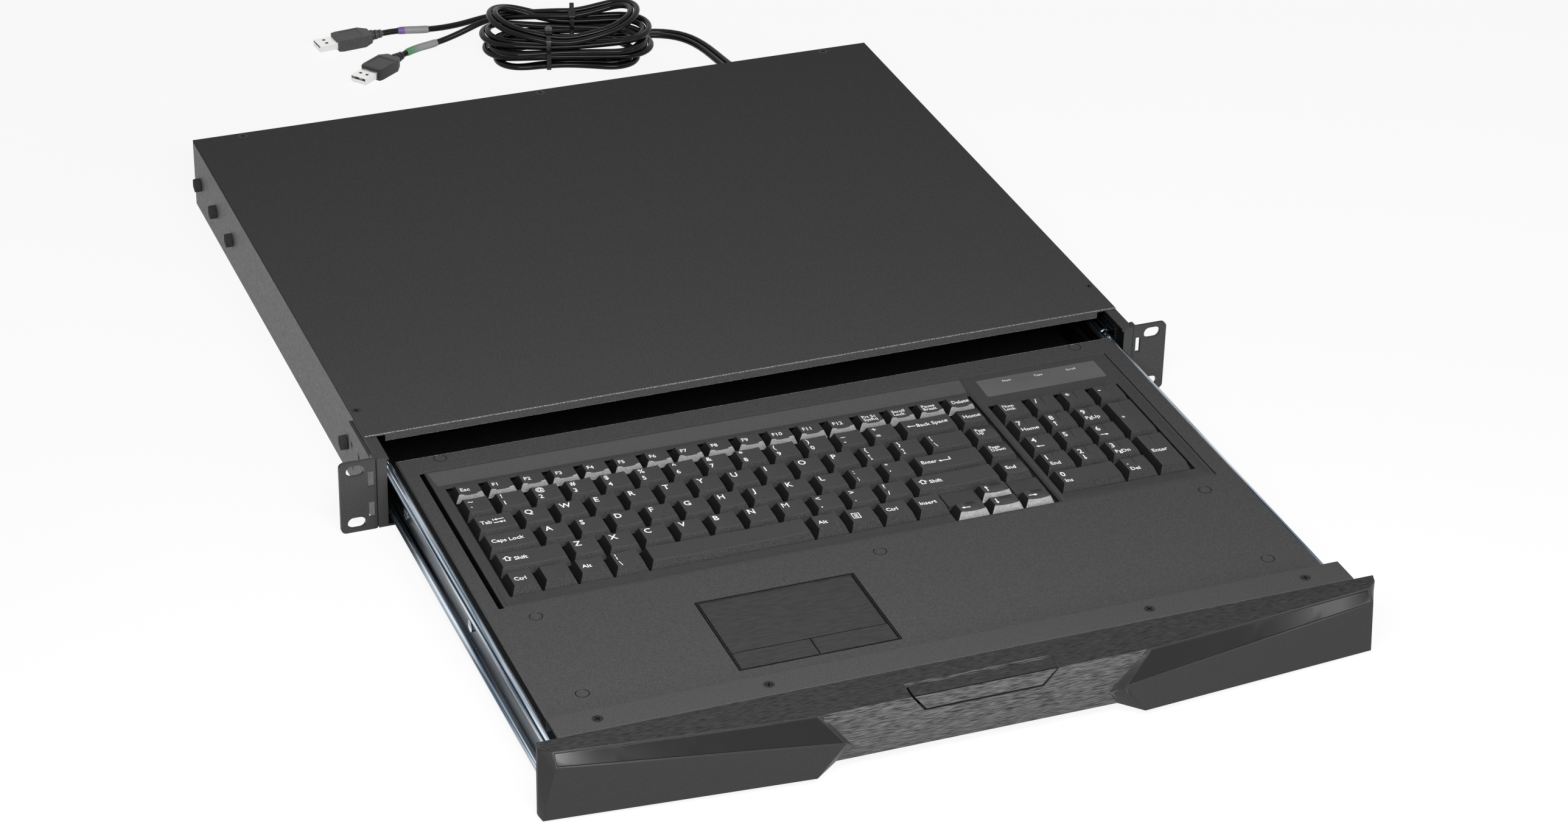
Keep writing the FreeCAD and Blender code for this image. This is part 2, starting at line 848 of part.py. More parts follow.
def make_keyboard_frame():
    half = frame_half_width
    plate = box(-half, half, frame_front, frame_rear, well_floor, panel_top)
    skirt_low = backplate_top
    skirt = box(-half, half, frame_front, frame_rear, skirt_low, well_floor)
    skirt = skirt.cut(box(-half + frame_wall, half - frame_wall, frame_front + frame_wall,
                          frame_rear - frame_wall, skirt_low, well_floor))
    bar_left = block_right + well_clearance
    bar_right = pad_left - well_clearance
    run = dish_run
    main_dish = dished(-half + frame_rim, bar_left + frame_dish / 2, frame_front + frame_rim,
                       frame_rear - frame_rim,
                       (block_left - run, bar_left, arrow_front - well_clearance, function_rear + run))
    pad_dish = dished(bar_right - frame_dish / 2, half - frame_rim, frame_front + frame_rim,
                      led_rear - led_depth - frame_rim,
                      (bar_right, pad_right + run, rows_front - run, rows_rear + well_clearance))
    frame = plate.cut(main_dish).cut(pad_dish)
    frame = frame.cut(well_prism(block_left, block_right, rows_front, function_rear))
    frame = frame.cut(well_prism(arrow_left, block_right, arrow_front, arrow_rear))
    frame = frame.cut(well_prism(pad_left, pad_right, rows_front, rows_rear))
    frame = frame.cut(led_box(led_thick))
    return fused([frame, skirt])


def make_key_guide_plate():
    gap = frame_clearance / 2
    half = frame_half_width - frame_wall - gap
    low = guide_plate_top - guide_plate_thick
    y0 = frame_front + frame_wall + gap
    y1 = frame_rear - frame_wall - gap
    plate = box(-half, half, y0, y1, low, guide_plate_top)
    half_hole = key_stem / 2 + stem_clearance
    holes = []
    for left, right, rear, front in all_keys:
        x = (left + right) / 2
        y = (rear + front) / 2
        holes.append(box(x - half_hole, x + half_hole, y - half_hole, y + half_hole, low, guide_plate_top))
    plate = plate.cut(Part.makeCompound(holes))
    blanks = []
    for left, right in ((arrow_left, arrow_left + arrow_width), (nav_left, block_right)):
        blanks.append(box(left + key_gap / 2, right - key_gap / 2, arrow_middle + key_gap / 2,
                          arrow_rear - key_gap / 2, guide_plate_top, panel_top - frame_dish))
    return fused([plate] + blanks)


def inner_sheet(top, thick):
    gap = frame_clearance / 2
    half = frame_half_width - frame_wall - gap
    return box(-half, half, frame_front + frame_wall + gap, frame_rear - frame_wall - gap, top - thick, top)


def make_keyboard_backplate():
    half = frame_half_width
    return box(-half, half, frame_front, frame_rear, backplate_top - backplate_thick, backplate_top)


# Touchpad: a shallow tray hung under the panel, with a pad, its board and two buttons
def pad_levels():
    floor_top = panel_top - pad_recess - pad_plate - pad_board_thick
    return floor_top - pad_floor_thick, floor_top


def make_touchpad_frame():
    x0, x1, y0, y1 = touchpad_edges()
    low, floor_top = pad_levels()
    rim_top = panel_top + pad_rim_height
    tub = box(x0, x1, y0, y1, low, rim_top)
    hollow = box(x0 + pad_rim, x1 - pad_rim, y0 + pad_rim, y1 - pad_rim, floor_top, rim_top)
    flange = box(x0 - pad_flange, x1 + pad_flange, y0 - pad_flange, y1 + pad_flange, low, panel_under)
    flange = flange.cut(box(x0, x1, y0, y1, low, panel_under))
    return fused([tub.cut(hollow), flange])


def pad_inside():
    x0, x1, y0, y1 = touchpad_edges()
    grow = pad_rim + pad_clearance
    return x0 + grow, x1 - grow, y0 + grow, y1 - grow


def make_touchpad_surface():
    x0, x1, y0, y1 = pad_inside()
    top = panel_top - pad_recess
    return box(x0, x1, y0 + pad_button_depth, y1, top - pad_plate, top)


def button_centre_x(side):
    x0, x1, y0, y1 = pad_inside()
    middle = (x0 + x1) / 2
    return (x0 + middle) / 2 if side < 0 else (middle + x1) / 2


def make_touchpad_board():
    x0, x1, y0, y1 = pad_inside()
    low, floor_top = pad_levels()
    pieces = [box(x0, x1, y0 + pad_button_depth, y1, floor_top, floor_top + pad_board_thick)]
    switch_y = y0 + pad_button_depth / 2
    half = switch_size / 2
    tongue_top = floor_top + switch_height
    for side in (-1, 1):
        x = button_centre_x(side)
        pieces.append(box(x - half, x + half, switch_y - half, y0 + pad_button_depth, floor_top, tongue_top))
    return fused(pieces)


def make_touchpad_button(side):
    x0, x1, y0, y1 = pad_inside()
    middle = (x0 + x1) / 2
    half_gap = pad_clearance
    if side < 0:
        x1 = middle - half_gap
    else:
        x0 = middle + half_gap
    top = panel_top + pad_rim_height
    button = box(x0, x1, y0, y0 + pad_button_depth - 2 * half_gap, top - button_thick, top)
    edges = [e for e in button.Edges if e.BoundBox.ZMin > top - button_thick / 2]
    return button.makeFillet(button_thick / 3, edges)


# Front bracket: strip on top, skirt behind it and a face plate for the bezel
def make_front_bracket():
    outline = [
        V(-bracket_half_width, bracket_rear, panel_top),
        V(-bracket_half_width, bracket_rear, bracket_top),
        V(-bracket_half_width, bracket_front, bracket_top),
        V(-bracket_half_width, bracket_front, pan_bottom),
    ]
    bracket = folded_sheet(outline, -bracket_sheet, V(2 * bracket_half_width, 0, 0))
    return cut_screws(bracket, bracket_screws)


# Bezel: lofted through cross-sections whose corners follow the crease, the inlay edge and the lower edge
inlay_inner_top_x = centre_face_half_width + crease_step_run
inlay_inner_low_x = centre_face_half_width + inlay_step_run
centre_under_half_width = centre_face_half_width + centre_under_run
wing_low_x = centre_under_half_width + wing_step_run
end_facet_x = bezel_half - end_facet_run
rib_x = [inlay_inner_top_x + rib_first_gap + i * rib_pitch for i in range(rib_count)]


def wing_share(x, start):
    return (x - start) / (bezel_half - start)


def between(first, last, share):
    return first + (last - first) * share


def bezel_corner(x, depth, drop):
    return V(x, bezel_back - depth, bezel_back_top - drop)


def crease_corner(x):
    share = max(0.0, wing_share(x, inlay_inner_low_x))
    depth = between(centre_crease_depth, end_crease_depth, share ** crease_bow)
    return bezel_corner(x, depth, crease_drop)


def inlay_low_corner(x):
    share = wing_share(x, inlay_inner_low_x)
    depth = between(inlay_inner_low_depth, inlay_end_low_depth, share)
    return bezel_corner(x, depth, between(inlay_inner_low_drop, inlay_end_low_drop, share))


def wing_low_corner(x):
    share = wing_share(x, wing_low_x)
    depth = between(wing_low_depth, wing_end_low_depth, share)
    return bezel_corner(x, depth, between(wing_low_drop, bezel_back_top - bezel_bottom, share))


def bezel_section(crease, middle, low, inset, back):
    """Closed cross-section from the back's lower corner round to the lower edge."""
    corners = [
        V(low.x, back, low.z + inset),
        V(crease.x, back, bezel_back_top - inset),
        crease + V(0, inset, -inset),
        middle + V(0, inset, 0),
        low + V(0, inset, inset),
    ]
    return Part.makePolygon(corners + corners[:1])


def bezel_sections(inset):
    """Sections from the left end to the right end; inset gives the inside of the moulding."""
    back = bezel_back + inset
    half = [[
        crease_corner(inlay_inner_top_x - bezel_wall),
        bezel_corner(centre_face_half_width, centre_face_low_depth, centre_face_low_drop),
        bezel_corner(centre_under_half_width, centre_under_depth, centre_under_drop),
    ]]
    half.append([
        crease_corner(inlay_inner_top_x),
        inlay_low_corner(inlay_inner_low_x),
        wing_low_corner(wing_low_x),
    ])
    half += [[crease_corner(x), inlay_low_corner(x), wing_low_corner(x)] for x in rib_x]
    facet_x = end_facet_x - inset
    facet_low_x = bezel_half - end_facet_low_run - inset
    half.append([crease_corner(facet_x), inlay_low_corner(facet_x), wing_low_corner(facet_low_x)])
    end_drops = (crease_drop, inlay_end_low_drop, bezel_back_top - bezel_bottom)
    half.append([bezel_corner(bezel_half - inset, end_facet_depth, drop) for drop in end_drops])
    flip = [[V(-corner.x, corner.y, corner.z) for corner in section] for section in reversed(half)]
    return [bezel_section(crease, middle, low, inset, back) for crease, middle, low in flip + half]


def lever_outline(gap, high):
    """Front view of the lever: wide at the crease and narrower below, grown by gap."""
    top = lever_top_half_width + gap
    low = lever_low_half_width + gap
    low_z = lever_low_z - gap
    return [(-low, low_z), (low, low_z), (top, crease_z), (top, high), (-top, high), (-top, crease_z)]


def lever_prism(gap, back_y):
    front = bezel_back - 2 * centre_crease_depth
    points = [V(x, front, z) for x, z in lever_outline(gap, bezel_back_top + lever_wall)]
    return prism(points, V(0, back_y - front, 0))


def inlay_section(top, low, proud, clearance):
    """Slim quadrilateral along the facet between the crease and the inlay edge."""
    along = (low - top).normalize()
    inward = V(0, -along.z, along.y).normalize()
    margin = along * (inlay_margin - clearance)
    under = inward * (inlay_thick + clearance)
    over = inward * -proud
    corners = [top + margin + over, low - margin + over, low - margin + under, top + margin + under]
    return Part.makePolygon(corners + corners[:1])


def make_inlay(proud, clearance):
    """Thin plate that follows the wing's upper facet; with a clearance it is the cutter for its pocket."""
    inner = inlay_inner_margin - clearance
    outer_x = end_facet_x - inlay_margin + clearance
    places = [(inlay_inner_top_x + inner, inlay_inner_low_x + inner)]
    places += [(x, x) for x in rib_x + [outer_x]]
    edges = [(crease_corner(top_x), inlay_low_corner(low_x)) for top_x, low_x in places]
    return Part.makeLoft([inlay_section(top, low, proud, clearance) for top, low in edges], True, True)


def lever_bosses():
    """Two cheeks inside the bezel that carry the lever's pin."""
    x0 = lever_ear_x + lever_ear_thick + lever_boss_gap
    x1 = x0 + lever_boss_thick
    back = bezel_back
    reach = lever_pin_radius + lever_boss_reach
    front = lever_pivot.y - reach
    wall_front = bezel_back - centre_face_low_depth
    foot_top = lever_low_z - 2 * lever_gap
    foot = box(x0, x1, wall_front, back, bezel_back_top - centre_face_low_drop, foot_top)
    cheek = box(x0, x1, front, back, foot_top, lever_pivot.z + reach)
    return both_sides(fused([foot, cheek]))


def make_front_bezel(outside, inside):
    ribs = []
    for x in rib_x:
        slab = box(x, x + rib_thick, bezel_back - 2 * centre_crease_depth, bezel_back,
                   2 * bezel_bottom, 2 * bezel_back_top)
        ribs += both_sides(slab.common(outside))
    shell = outside.cut(inside)
    bezel = fused([shell] + ribs + lever_bosses())
    opening_back = bezel_back - lever_back_depth + lever_back_gap
    bezel = bezel.cut(lever_prism(lever_gap, opening_back).cut(Part.makeCompound(lever_bosses())))
    for pocket in both_sides(make_inlay(bezel_wall, inlay_clearance)):
        bezel = bezel.cut(pocket)
    return bezel.cut(make_lever_pin())


def make_lever_pin():
    half = lever_ear_x + lever_ear_thick + lever_boss_gap + lever_boss_thick
    return rod(lever_pin_radius, 2 * half, lever_pivot - V(half, 0, 0), V(1, 0, 0))


def make_release_lever(outside):
    """Paddle that wraps over the crease, with two ears that turn on the pin."""
    back = bezel_back - lever_back_depth
    paddle = outside.common(lever_prism(0.0, back))
    hollow_front = bezel_back - centre_crease_depth + lever_front_wall
    hollow_top = crease_z - lever_wall
    top_half = lever_top_half_width
    paddle = paddle.cut(box(-top_half, top_half, hollow_front, back, 0, hollow_top))
    hole_radius = lever_pin_radius + lever_pin_clearance
    ear_low = lever_pivot.z - hole_radius - lever_ear_margin
    ear_front = lever_pivot.y - hole_radius - lever_ear_margin
    ear = box(lever_ear_x, lever_ear_x + lever_ear_thick, ear_front, back, ear_low, crease_z)
    lever = fused([paddle] + both_sides(ear))
    hole = rod(hole_radius, 2 * top_half, lever_pivot - V(top_half, 0, 0), V(1, 0, 0))
    return lever.cut(hole)


def make_lever_spring():
    """Leaf spring that stands on the bracket's face plate and bends forward to the lever."""
    x = -spring_width / 2
    outline = [
        V(x, bezel_back, lever_low_z - spring_reach),
        V(x, bezel_back, lever_low_z),
        V(x, bezel_back - spring_reach, crease_z - 2 * lever_wall),
    ]
    return folded_sheet(outline, -spring_sheet, V(spring_width, 0, 0))


# Cords
def cord_tube(name, route):
    """Tube of straight runs and tangent arcs, each arc as large as its two runs allow."""
    edges = []
    start = route[0]
    radii = []
    for before, corner, after in zip(route, route[1:], route[2:]):
        back = (before - corner)
        ahead = (after - corner)
        turn = math.pi - back.getAngle(ahead)
        shorter = min(back.Length, ahead.Length)
        reach = cord_arc_share * shorter
        radii.append(reach / math.tan(turn / 2))
        arc_start = corner + back.normalize() * reach
        arc_end = corner + ahead.normalize() * reach
        bisector = (back + ahead).normalize()
        middle = corner + bisector * (radii[-1] / math.cos(turn / 2) - radii[-1])
        edges.append(Part.LineSegment(start, arc_start).toShape())
        edges.append(Part.Arc(arc_start, middle, arc_end).toShape())
        start = arc_end
    edges.append(Part.LineSegment(start, route[-1]).toShape())
    path = Part.Wire(edges)
    ring = Part.Wire([Part.makeCircle(cord_radius, route[0], route[1] - route[0])])
    tube = path.makePipeShell([ring], True, True)
    share = tube.Volume / (math.pi * cord_radius ** 2 * path.Length)
    radii_text = " ".join("%.0f" % radius for radius in radii)
    print("%s: length %.0f mm, volume share %.3f, bend radii %s" % (name, path.Length, share, radii_text))
    return tube


def make_cable_gland():
    """Tapered bush through the rear wall, with a flange on each side of the sheet."""
    rear = chassis_depth
    inside = rear - chassis_sheet - gland_flange_thick
    along = V(0, 1, 0)
    pieces = [
        rod(gland_flange_radius, gland_flange_thick, V(gland_x, inside, gland_z), along),
        rod(gland_neck_radius, chassis_sheet, V(gland_x, rear - chassis_sheet, gland_z), along),
        rod(gland_flange_radius, gland_flange_thick, V(gland_x, rear, gland_z), along),
        Part.makeCone(gland_neck_radius, gland_tip_radius, gland_length - gland_flange_thick,
                      V(gland_x, rear + gland_flange_thick, gland_z), along),
    ]
    return fused(pieces)


def make_cord_coil():
    """Outer shape of the hank: a flat oval with chamfered rims."""
    straight = coil_half_length - coil_half_width
    pieces = [box(-straight, straight, -coil_half_width, coil_half_width, 0, coil_height)]
    pieces += [rod(coil_half_width, coil_height, V(x, 0, 0), V(0, 0, 1)) for x in (-straight, straight)]
    hank = fused(pieces)
    rims = [e for e in hank.Edges if e.BoundBox.ZLength < 0.01]
    hank = hank.makeChamfer(coil_chamfer, rims)
    hank.rotate(V(0, 0, 0), V(0, 0, 1), coil_turn)
    hank.translate(coil_centre)
    return hank


def make_cable_ties():
    ties = []
    half_width = tie_bundle_width / 2 + tie_thick
    height = tie_bundle_height + 2 * tie_thick
    for along, across in tie_places:
        loop = box(-tie_width / 2, tie_width / 2, -half_width, half_width, 0, height)
        hole = box(-tie_width / 2, tie_width / 2, -tie_bundle_width / 2, tie_bundle_width / 2,
                   tie_thick, height - tie_thick)
        tie = loop.cut(hole)
        tie.translate(V(along, across, 0))
        tie.rotate(V(0, 0, 0), V(0, 0, 1), coil_turn)
        tie.translate(coil_centre)
        ties.append(tie)
    return ties


def placed_plug(shape, tip, turn):
    shape.rotate(V(0, 0, 0), V(0, 0, 1), turn)
    shape.translate(tip)
    return shape


def make_plug_shell(tip, turn):
    half_width = plug_shell_width / 2
    half_height = plug_shell_height / 2
    wall = plug_shell_wall
    length = plug_shell_length
    shell = box(0, length, -half_width, half_width, -half_height, half_height)
    shell = shell.cut(box(0, length, -half_width + wall, half_width - wall,
                          -half_height + wall, half_height - wall))
    half = plug_window / 2
    for y in (-plug_window_y, plug_window_y):
        shell = shell.cut(box(plug_window_x - half, plug_window_x + half, y - half, y + half,
                              -half_height, half_height))
    tongue = box(wall, length, -half_width + wall, half_width - wall,
                 -half_height + wall, -half_height + wall + plug_tongue_thick)
    return placed_plug(fused([shell, tongue]), tip, turn)


def plug_outline(half, nose_inset, tail_inset):
    """Half-heights along the moulded body: a short nose, a full middle and a tapered tail."""
    start = plug_shell_length
    end = start + plug_body_length
    upper = [
        (start, half - nose_inset),
        (start + plug_nose, half),
        (end - plug_tail, half),
        (end, half - tail_inset),
    ]
    return upper + [(x, -height) for x, height in reversed(upper)]


def make_plug_body(tip, turn):
    """Body shaped in plan and in side view, with a ribbed strain relief behind it."""
    half_width = plug_body_width / 2
    half_height = plug_body_height / 2
    plan = [V(x, y, -half_height) for x, y in plug_outline(half_width, plug_nose_inset, plug_tail_inset)]
    side = [V(x, -half_width, z) for x, z in plug_outline(half_height, plug_nose_drop, plug_tail_drop)]
    body = prism(plan, V(0, 0, plug_body_height)).common(prism(side, V(0, plug_body_width, 0)))
    along = V(1, 0, 0)
    end = plug_shell_length + plug_body_length
    pieces = [body, rod(cord_radius, plug_relief_length, V(end, 0, 0), along)]
    pitch = plug_relief_length / relief_grooves
    for i in range(relief_grooves):
        radius = plug_relief_radius - i * (plug_relief_radius - cord_radius) / (relief_grooves + 1)
        pieces.append(rod(radius, pitch * relief_ring_share, V(end + i * pitch, 0, 0), along))
    return placed_plug(fused(pieces), tip, turn)


def make_sleeve(route):
    """Marker sleeve round the second run of a cord's tail."""
    start = route[1]
    run = route[2] - route[1]
    length = run.Length * sleeve_share
    along = V(run).normalize()
    first = start + along * (run.Length - length) / 2
    bore = cord_radius + sleeve_clearance
    return rod(bore + sleeve_wall, length, first, along).cut(rod(bore, length, first, along))


# Write every piece
print("tray travel on the slides: %.1f mm" % slide_travel)
bezel_outside = Part.makeLoft(bezel_sections(0.0), True, True)
bezel_inside = Part.makeLoft(bezel_sections(bezel_wall), True, True)
rack_ear_right = cut_screws(make_rack_ear(), ear_screws)
rack_ear_left = cut_screws(mirrored(make_rack_ear()), ear_screws)
slide_outer_right = make_slide_outer()
slide_inner_right = make_slide_inner()
ball_cage_right = make_ball_cage()
balls_right = make_bearing_balls()
inlay_right = make_inlay(0.0, 0.0)

save("chassis_base", [make_chassis_base()])
save("top_cover", [make_top_cover()])
save("cover_screws", cover_screws)
save("rack_ear_right", [rack_ear_right])
save("rack_ear_left", [rack_ear_left])
save("ear_screws", ear_screws)
save("slide_outer_right", [slide_outer_right])
save("slide_outer_left", [mirrored(slide_outer_right)])
save("slide_bolts", slide_bolts)
save("ball_cage_right", [ball_cage_right])
save("ball_cage_left", [mirrored(ball_cage_right)])
save("bearing_balls_right", balls_right)
save("bearing_balls_left", [mirrored(ball) for ball in balls_right])
save("slide_inner_right", [slide_inner_right])
save("slide_inner_left", [mirrored(slide_inner_right)])
save("slide_screws", slide_screws)
save("tray_pan", [make_tray_pan()])
save("tray_panel", [make_tray_panel()])
save("panel_studs", make_panel_studs())
save("keyboard_frame", [make_keyboard_frame()])
save("key_guide_plate", [make_key_guide_plate()])
save("key_membrane", [inner_sheet(membrane_top, membrane_thick)])
save("keyboard_backplate", [make_keyboard_backplate()])
save("led_window", [led_box(led_thick)])
for group_name, keys in key_groups.items():
    group_inset = sloped_front_inset if group_name in sloped_groups else key_front_inset
    save(group_name, [keycap(*key, group_inset) for key in keys])
save("touchpad_frame", [make_touchpad_frame()])
save("touchpad_surface", [make_touchpad_surface()])
save("touchpad_board", [make_touchpad_board()])
save("touchpad_button_left", [make_touchpad_button(-1)])
save("touchpad_button_right", [make_touchpad_button(1)])
save("front_bracket", [make_front_bracket()])
save("bracket_screws", bracket_screws)
save("front_bezel", [make_front_bezel(bezel_outside, bezel_inside)])
save("bezel_inlay_right", [inlay_right])
save("bezel_inlay_left", [mirrored(inlay_right)])
save("release_lever", [make_release_lever(bezel_outside)])
save("lever_pin", [make_lever_pin()])
save("lever_spring", [make_lever_spring()])
save("cable_gland", [make_cable_gland()])
save("cord_lead_keyboard", [cord_tube("lead_keyboard", lead_keyboard_route)])
save("cord_lead_mouse", [cord_tube("lead_mouse", lead_mouse_route)])
save("cord_coil", [make_cord_coil()])
save("cord_tail_keyboard", [cord_tube("tail_keyboard", tail_keyboard_route)])
save("cord_tail_mouse", [cord_tube("tail_mouse", tail_mouse_route)])
save("cable_ties", make_cable_ties())
save("marker_sleeves", [make_sleeve(tail_keyboard_route), make_sleeve(tail_mouse_route)])
save("plug_shell_keyboard", [make_plug_shell(keyboard_plug_tip, keyboard_plug_turn)])
save("plug_shell_mouse", [make_plug_shell(mouse_plug_tip, mouse_plug_turn)])
save("plug_body_keyboard", [make_plug_body(keyboard_plug_tip, keyboard_plug_turn)])
save("plug_body_mouse", [make_plug_body(mouse_plug_tip, mouse_plug_turn)])
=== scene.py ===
# %% [markdown]
# A rack keyboard tray, drawn open: a sheet steel chassis with rack ears, a tray on ball slides, a sunken
# keyboard, a touchpad, a moulded front bezel with a release lever, and two cords that end in plugs. The
# first cell loads the solid model as a fixed frame. Every later piece takes its place from that frame, so
# nothing has to be fitted by eye, and it moves with the body that carries it.

# %% Load the frame
import bpy
import bmesh
import json
from math import copysign, cos, hypot, pi, radians, sin, sqrt
from mathutils import Matrix, Quaternion, Vector
from mathutils.bvhtree import BVHTree
from mathutils.geometry import convex_hull_2d

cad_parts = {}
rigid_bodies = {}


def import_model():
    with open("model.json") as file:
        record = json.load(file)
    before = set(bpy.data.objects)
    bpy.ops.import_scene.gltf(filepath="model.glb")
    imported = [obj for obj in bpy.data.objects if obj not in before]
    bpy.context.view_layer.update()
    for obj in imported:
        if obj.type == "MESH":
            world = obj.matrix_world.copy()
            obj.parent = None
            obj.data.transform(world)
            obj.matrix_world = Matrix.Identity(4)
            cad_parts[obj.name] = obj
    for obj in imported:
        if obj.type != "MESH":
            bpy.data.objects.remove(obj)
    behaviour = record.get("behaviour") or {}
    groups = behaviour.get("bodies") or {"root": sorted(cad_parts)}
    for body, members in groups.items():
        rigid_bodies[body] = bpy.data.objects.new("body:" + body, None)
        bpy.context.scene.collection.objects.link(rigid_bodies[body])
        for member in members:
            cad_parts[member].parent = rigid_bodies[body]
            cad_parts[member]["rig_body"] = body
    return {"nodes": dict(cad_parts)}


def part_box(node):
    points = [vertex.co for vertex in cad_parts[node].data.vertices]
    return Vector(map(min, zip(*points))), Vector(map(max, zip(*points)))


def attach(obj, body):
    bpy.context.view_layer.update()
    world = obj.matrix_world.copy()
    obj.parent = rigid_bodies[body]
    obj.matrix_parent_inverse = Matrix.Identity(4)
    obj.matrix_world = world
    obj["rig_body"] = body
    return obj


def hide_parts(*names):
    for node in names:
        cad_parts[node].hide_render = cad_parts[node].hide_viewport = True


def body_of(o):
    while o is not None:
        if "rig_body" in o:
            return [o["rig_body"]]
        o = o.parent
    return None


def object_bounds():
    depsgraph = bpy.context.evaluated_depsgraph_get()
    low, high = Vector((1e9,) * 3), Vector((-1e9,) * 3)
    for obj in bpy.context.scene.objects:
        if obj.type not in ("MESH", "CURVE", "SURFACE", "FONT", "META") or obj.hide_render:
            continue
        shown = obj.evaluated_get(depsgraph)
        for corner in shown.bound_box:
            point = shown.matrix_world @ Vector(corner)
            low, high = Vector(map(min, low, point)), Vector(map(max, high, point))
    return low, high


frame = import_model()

MM = 0.001
scene = bpy.context.scene
nodes = frame["nodes"]
cad_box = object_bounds()


def placed(name, data):
    """A new object with this data, linked into the scene."""
    thing = bpy.data.objects.new(name, data)
    scene.collection.objects.link(thing)
    return thing


# %% [markdown]
# The camera stands where the photographer stood: in front of the tray, a little to its left and about
# thirty degrees above it, with a long lens that keeps the sides almost parallel. A small roll levels the
# picture.

# %% Camera
image_width_px = 2576
focal_px = 6584.24
sensor_mm = 36
camera_place = Vector((-0.69248, -1.77131, 1.09812))
look_along = Vector((0.3199, 0.8065, -0.4972))
roll = radians(1.18)

camera_data = bpy.data.cameras.new("camera")
camera_data.sensor_fit = "HORIZONTAL"
camera_data.sensor_width = sensor_mm
camera_data.lens = focal_px * sensor_mm / image_width_px
camera = placed("camera", camera_data)
camera.rotation_mode = "QUATERNION"
camera.rotation_quaternion = look_along.to_track_quat("-Z", "Y") @ Quaternion((0, 0, 1), roll)
camera.location = camera_place
scene.camera = camera
print("lens %.1f mm" % camera_data.lens)

# %% [markdown]
# A finish is a Principled shader with noise in the piece's own coordinates. One helper adds a node to a
# tree and feeds its inputs. Others make noise that can be stretched for brushed or drawn surfaces, and turn
# it into a range of colours or values, or into relief. The last makes a whole finish from its name, plain
# colour, roughness and specular level. Tone and gloss are the ends of the range of colour and roughness,
# and bumps are a height in millimetres and a strength. Each is followed by its noise: how fine, how
# stretched, how detailed.

# %% Helpers for finishes
EVEN = (1, 1, 1)


def add(tree, kind, inputs, **settings):
    """Adds a node and returns its first output; an input is linked to a socket or set to a value."""
    node = tree.nodes.new(kind)
    for name, value in settings.items():
        setattr(node, name, value)
    for name, value in inputs.items():
        if isinstance(value, bpy.types.NodeSocket):
            tree.links.new(value, node.inputs[name])
        else:
            node.inputs[name].default_value = value
    return node.outputs[0] if node.outputs else None


def opaque(colour):
    """A colour, or a grey given as one number, with full alpha."""
    return (*colour, 1) if isinstance(colour, tuple) else (colour, colour, colour, 1)


def own_place(tree, scale, shift=(0, 0, 0)):
    """Coordinates of the piece itself, scaled and shifted."""
    place = add(tree, "ShaderNodeTexCoord", {}).node.outputs["Object"]
    return add(tree, "ShaderNodeMapping", {"Vector": place, "Scale": scale, "Location": shift})


def grain(tree, per_metre, stretch=EVEN, detail=3):
    """Noise; stretch below one draws the grain out along that axis."""
    place = own_place(tree, stretch)
    return add(tree, "ShaderNodeTexNoise", {"Vector": place, "Scale": per_metre, "Detail": detail})


def spread(tree, factor, socket, low, high, start=0.35, end=0.65):
    """Feeds a shader socket with a range between two greys or colours."""
    ramp = add(tree, "ShaderNodeValToRGB", {"Fac": factor})
    for element, position, colour in zip(ramp.node.color_ramp.elements, (start, end), (low, high)):
        element.position, element.color = position, opaque(colour)
    tree.links.new(ramp, tree.nodes["Principled BSDF"].inputs[socket])


def relief(tree, factor, height, strength):
    bump = add(tree, "ShaderNodeBump", {"Distance": height, "Strength": strength, "Height": factor})
    tree.links.new(bump, tree.nodes["Principled BSDF"].inputs["Normal"])


def new_finish(name, colour, roughness, specular=0.5, metallic=0, tone=None, gloss=None, bumps=None, ramp=()):
    material = bpy.data.materials.new(name)
    material.use_nodes = True
    tree = material.node_tree
    plain = {"Base Color": opaque(colour), "Roughness": roughness, "Metallic": metallic,
             "Specular IOR Level": specular}
    for socket, value in plain.items():
        tree.nodes["Principled BSDF"].inputs[socket].default_value = value
    if tone:
        spread(tree, grain(tree, *tone[2:]), "Base Color", *tone[:2], *ramp)
    if gloss:
        spread(tree, grain(tree, *gloss[2:]), "Roughness", *gloss[:2])
    if bumps:
        relief(tree, grain(tree, *bumps[2:]), bumps[0] * MM, bumps[1])
    return material


print("helpers for finishes are ready")

# %% [markdown]
# The steel is powder coated: nearly black, matt, with a fine orange-peel grain. The outer sides of chassis
# and ears are seen along their length and shine with the white floor beside them. Along folded edges the
# coat is rubbed, so those edges get a finish of their own with pale flecks. The plastics are told apart by
# their grain: fine on the keyboard, coarse on the sides of the keys, drawn out sideways on the bezel.

# %% Finishes of sheet steel and plastic
powder = new_finish(
    "powder_coat", 0.06, 0.55, 0.012, tone=(0.05, 0.07, 1400), gloss=(0.48, 0.62, 600),
    bumps=(0.06, 0.35, 1100, EVEN, 2))
powder_side = new_finish(
    "powder_side", 0.05, 0.5, 0.8, tone=(0.042, 0.058, 1400), gloss=(0.45, 0.58, 600),
    bumps=(0.06, 0.35, 1100, EVEN, 2))
# Painted shade: a near-black coat for faces in gaps, hollows and the chassis's inside, where little light
# falls.
painted_shade = new_finish("painted_shade", 0.008, 0.7, 0.02, tone=(0.005, 0.011, 900))
# Rubbed edge: pale flecks of wear on the cover's and panel's edges, and the painted highlight on the bezel's
# creases.
rubbed_edge_and_highlight = new_finish("rubbed_edge_and_highlight", 0.06, 0.5, 0.3, tone=(0.05, 0.32, 1100, EVEN, 5), ramp=(0.42, 0.66))
bezel_brushed = new_finish(
    "bezel_brushed", 0.08, 0.45, 0.1, tone=(0.018, 0.16, 3200, (0.05, 1, 1), 2),
    bumps=(0.04, 0.35, 3600, (0.05, 1, 1), 2))
bezel_top = new_finish("bezel_top", 0.035, 0.45, 0.06, tone=(0.012, 0.04, 3600, (0.06, 1, 1), 2))
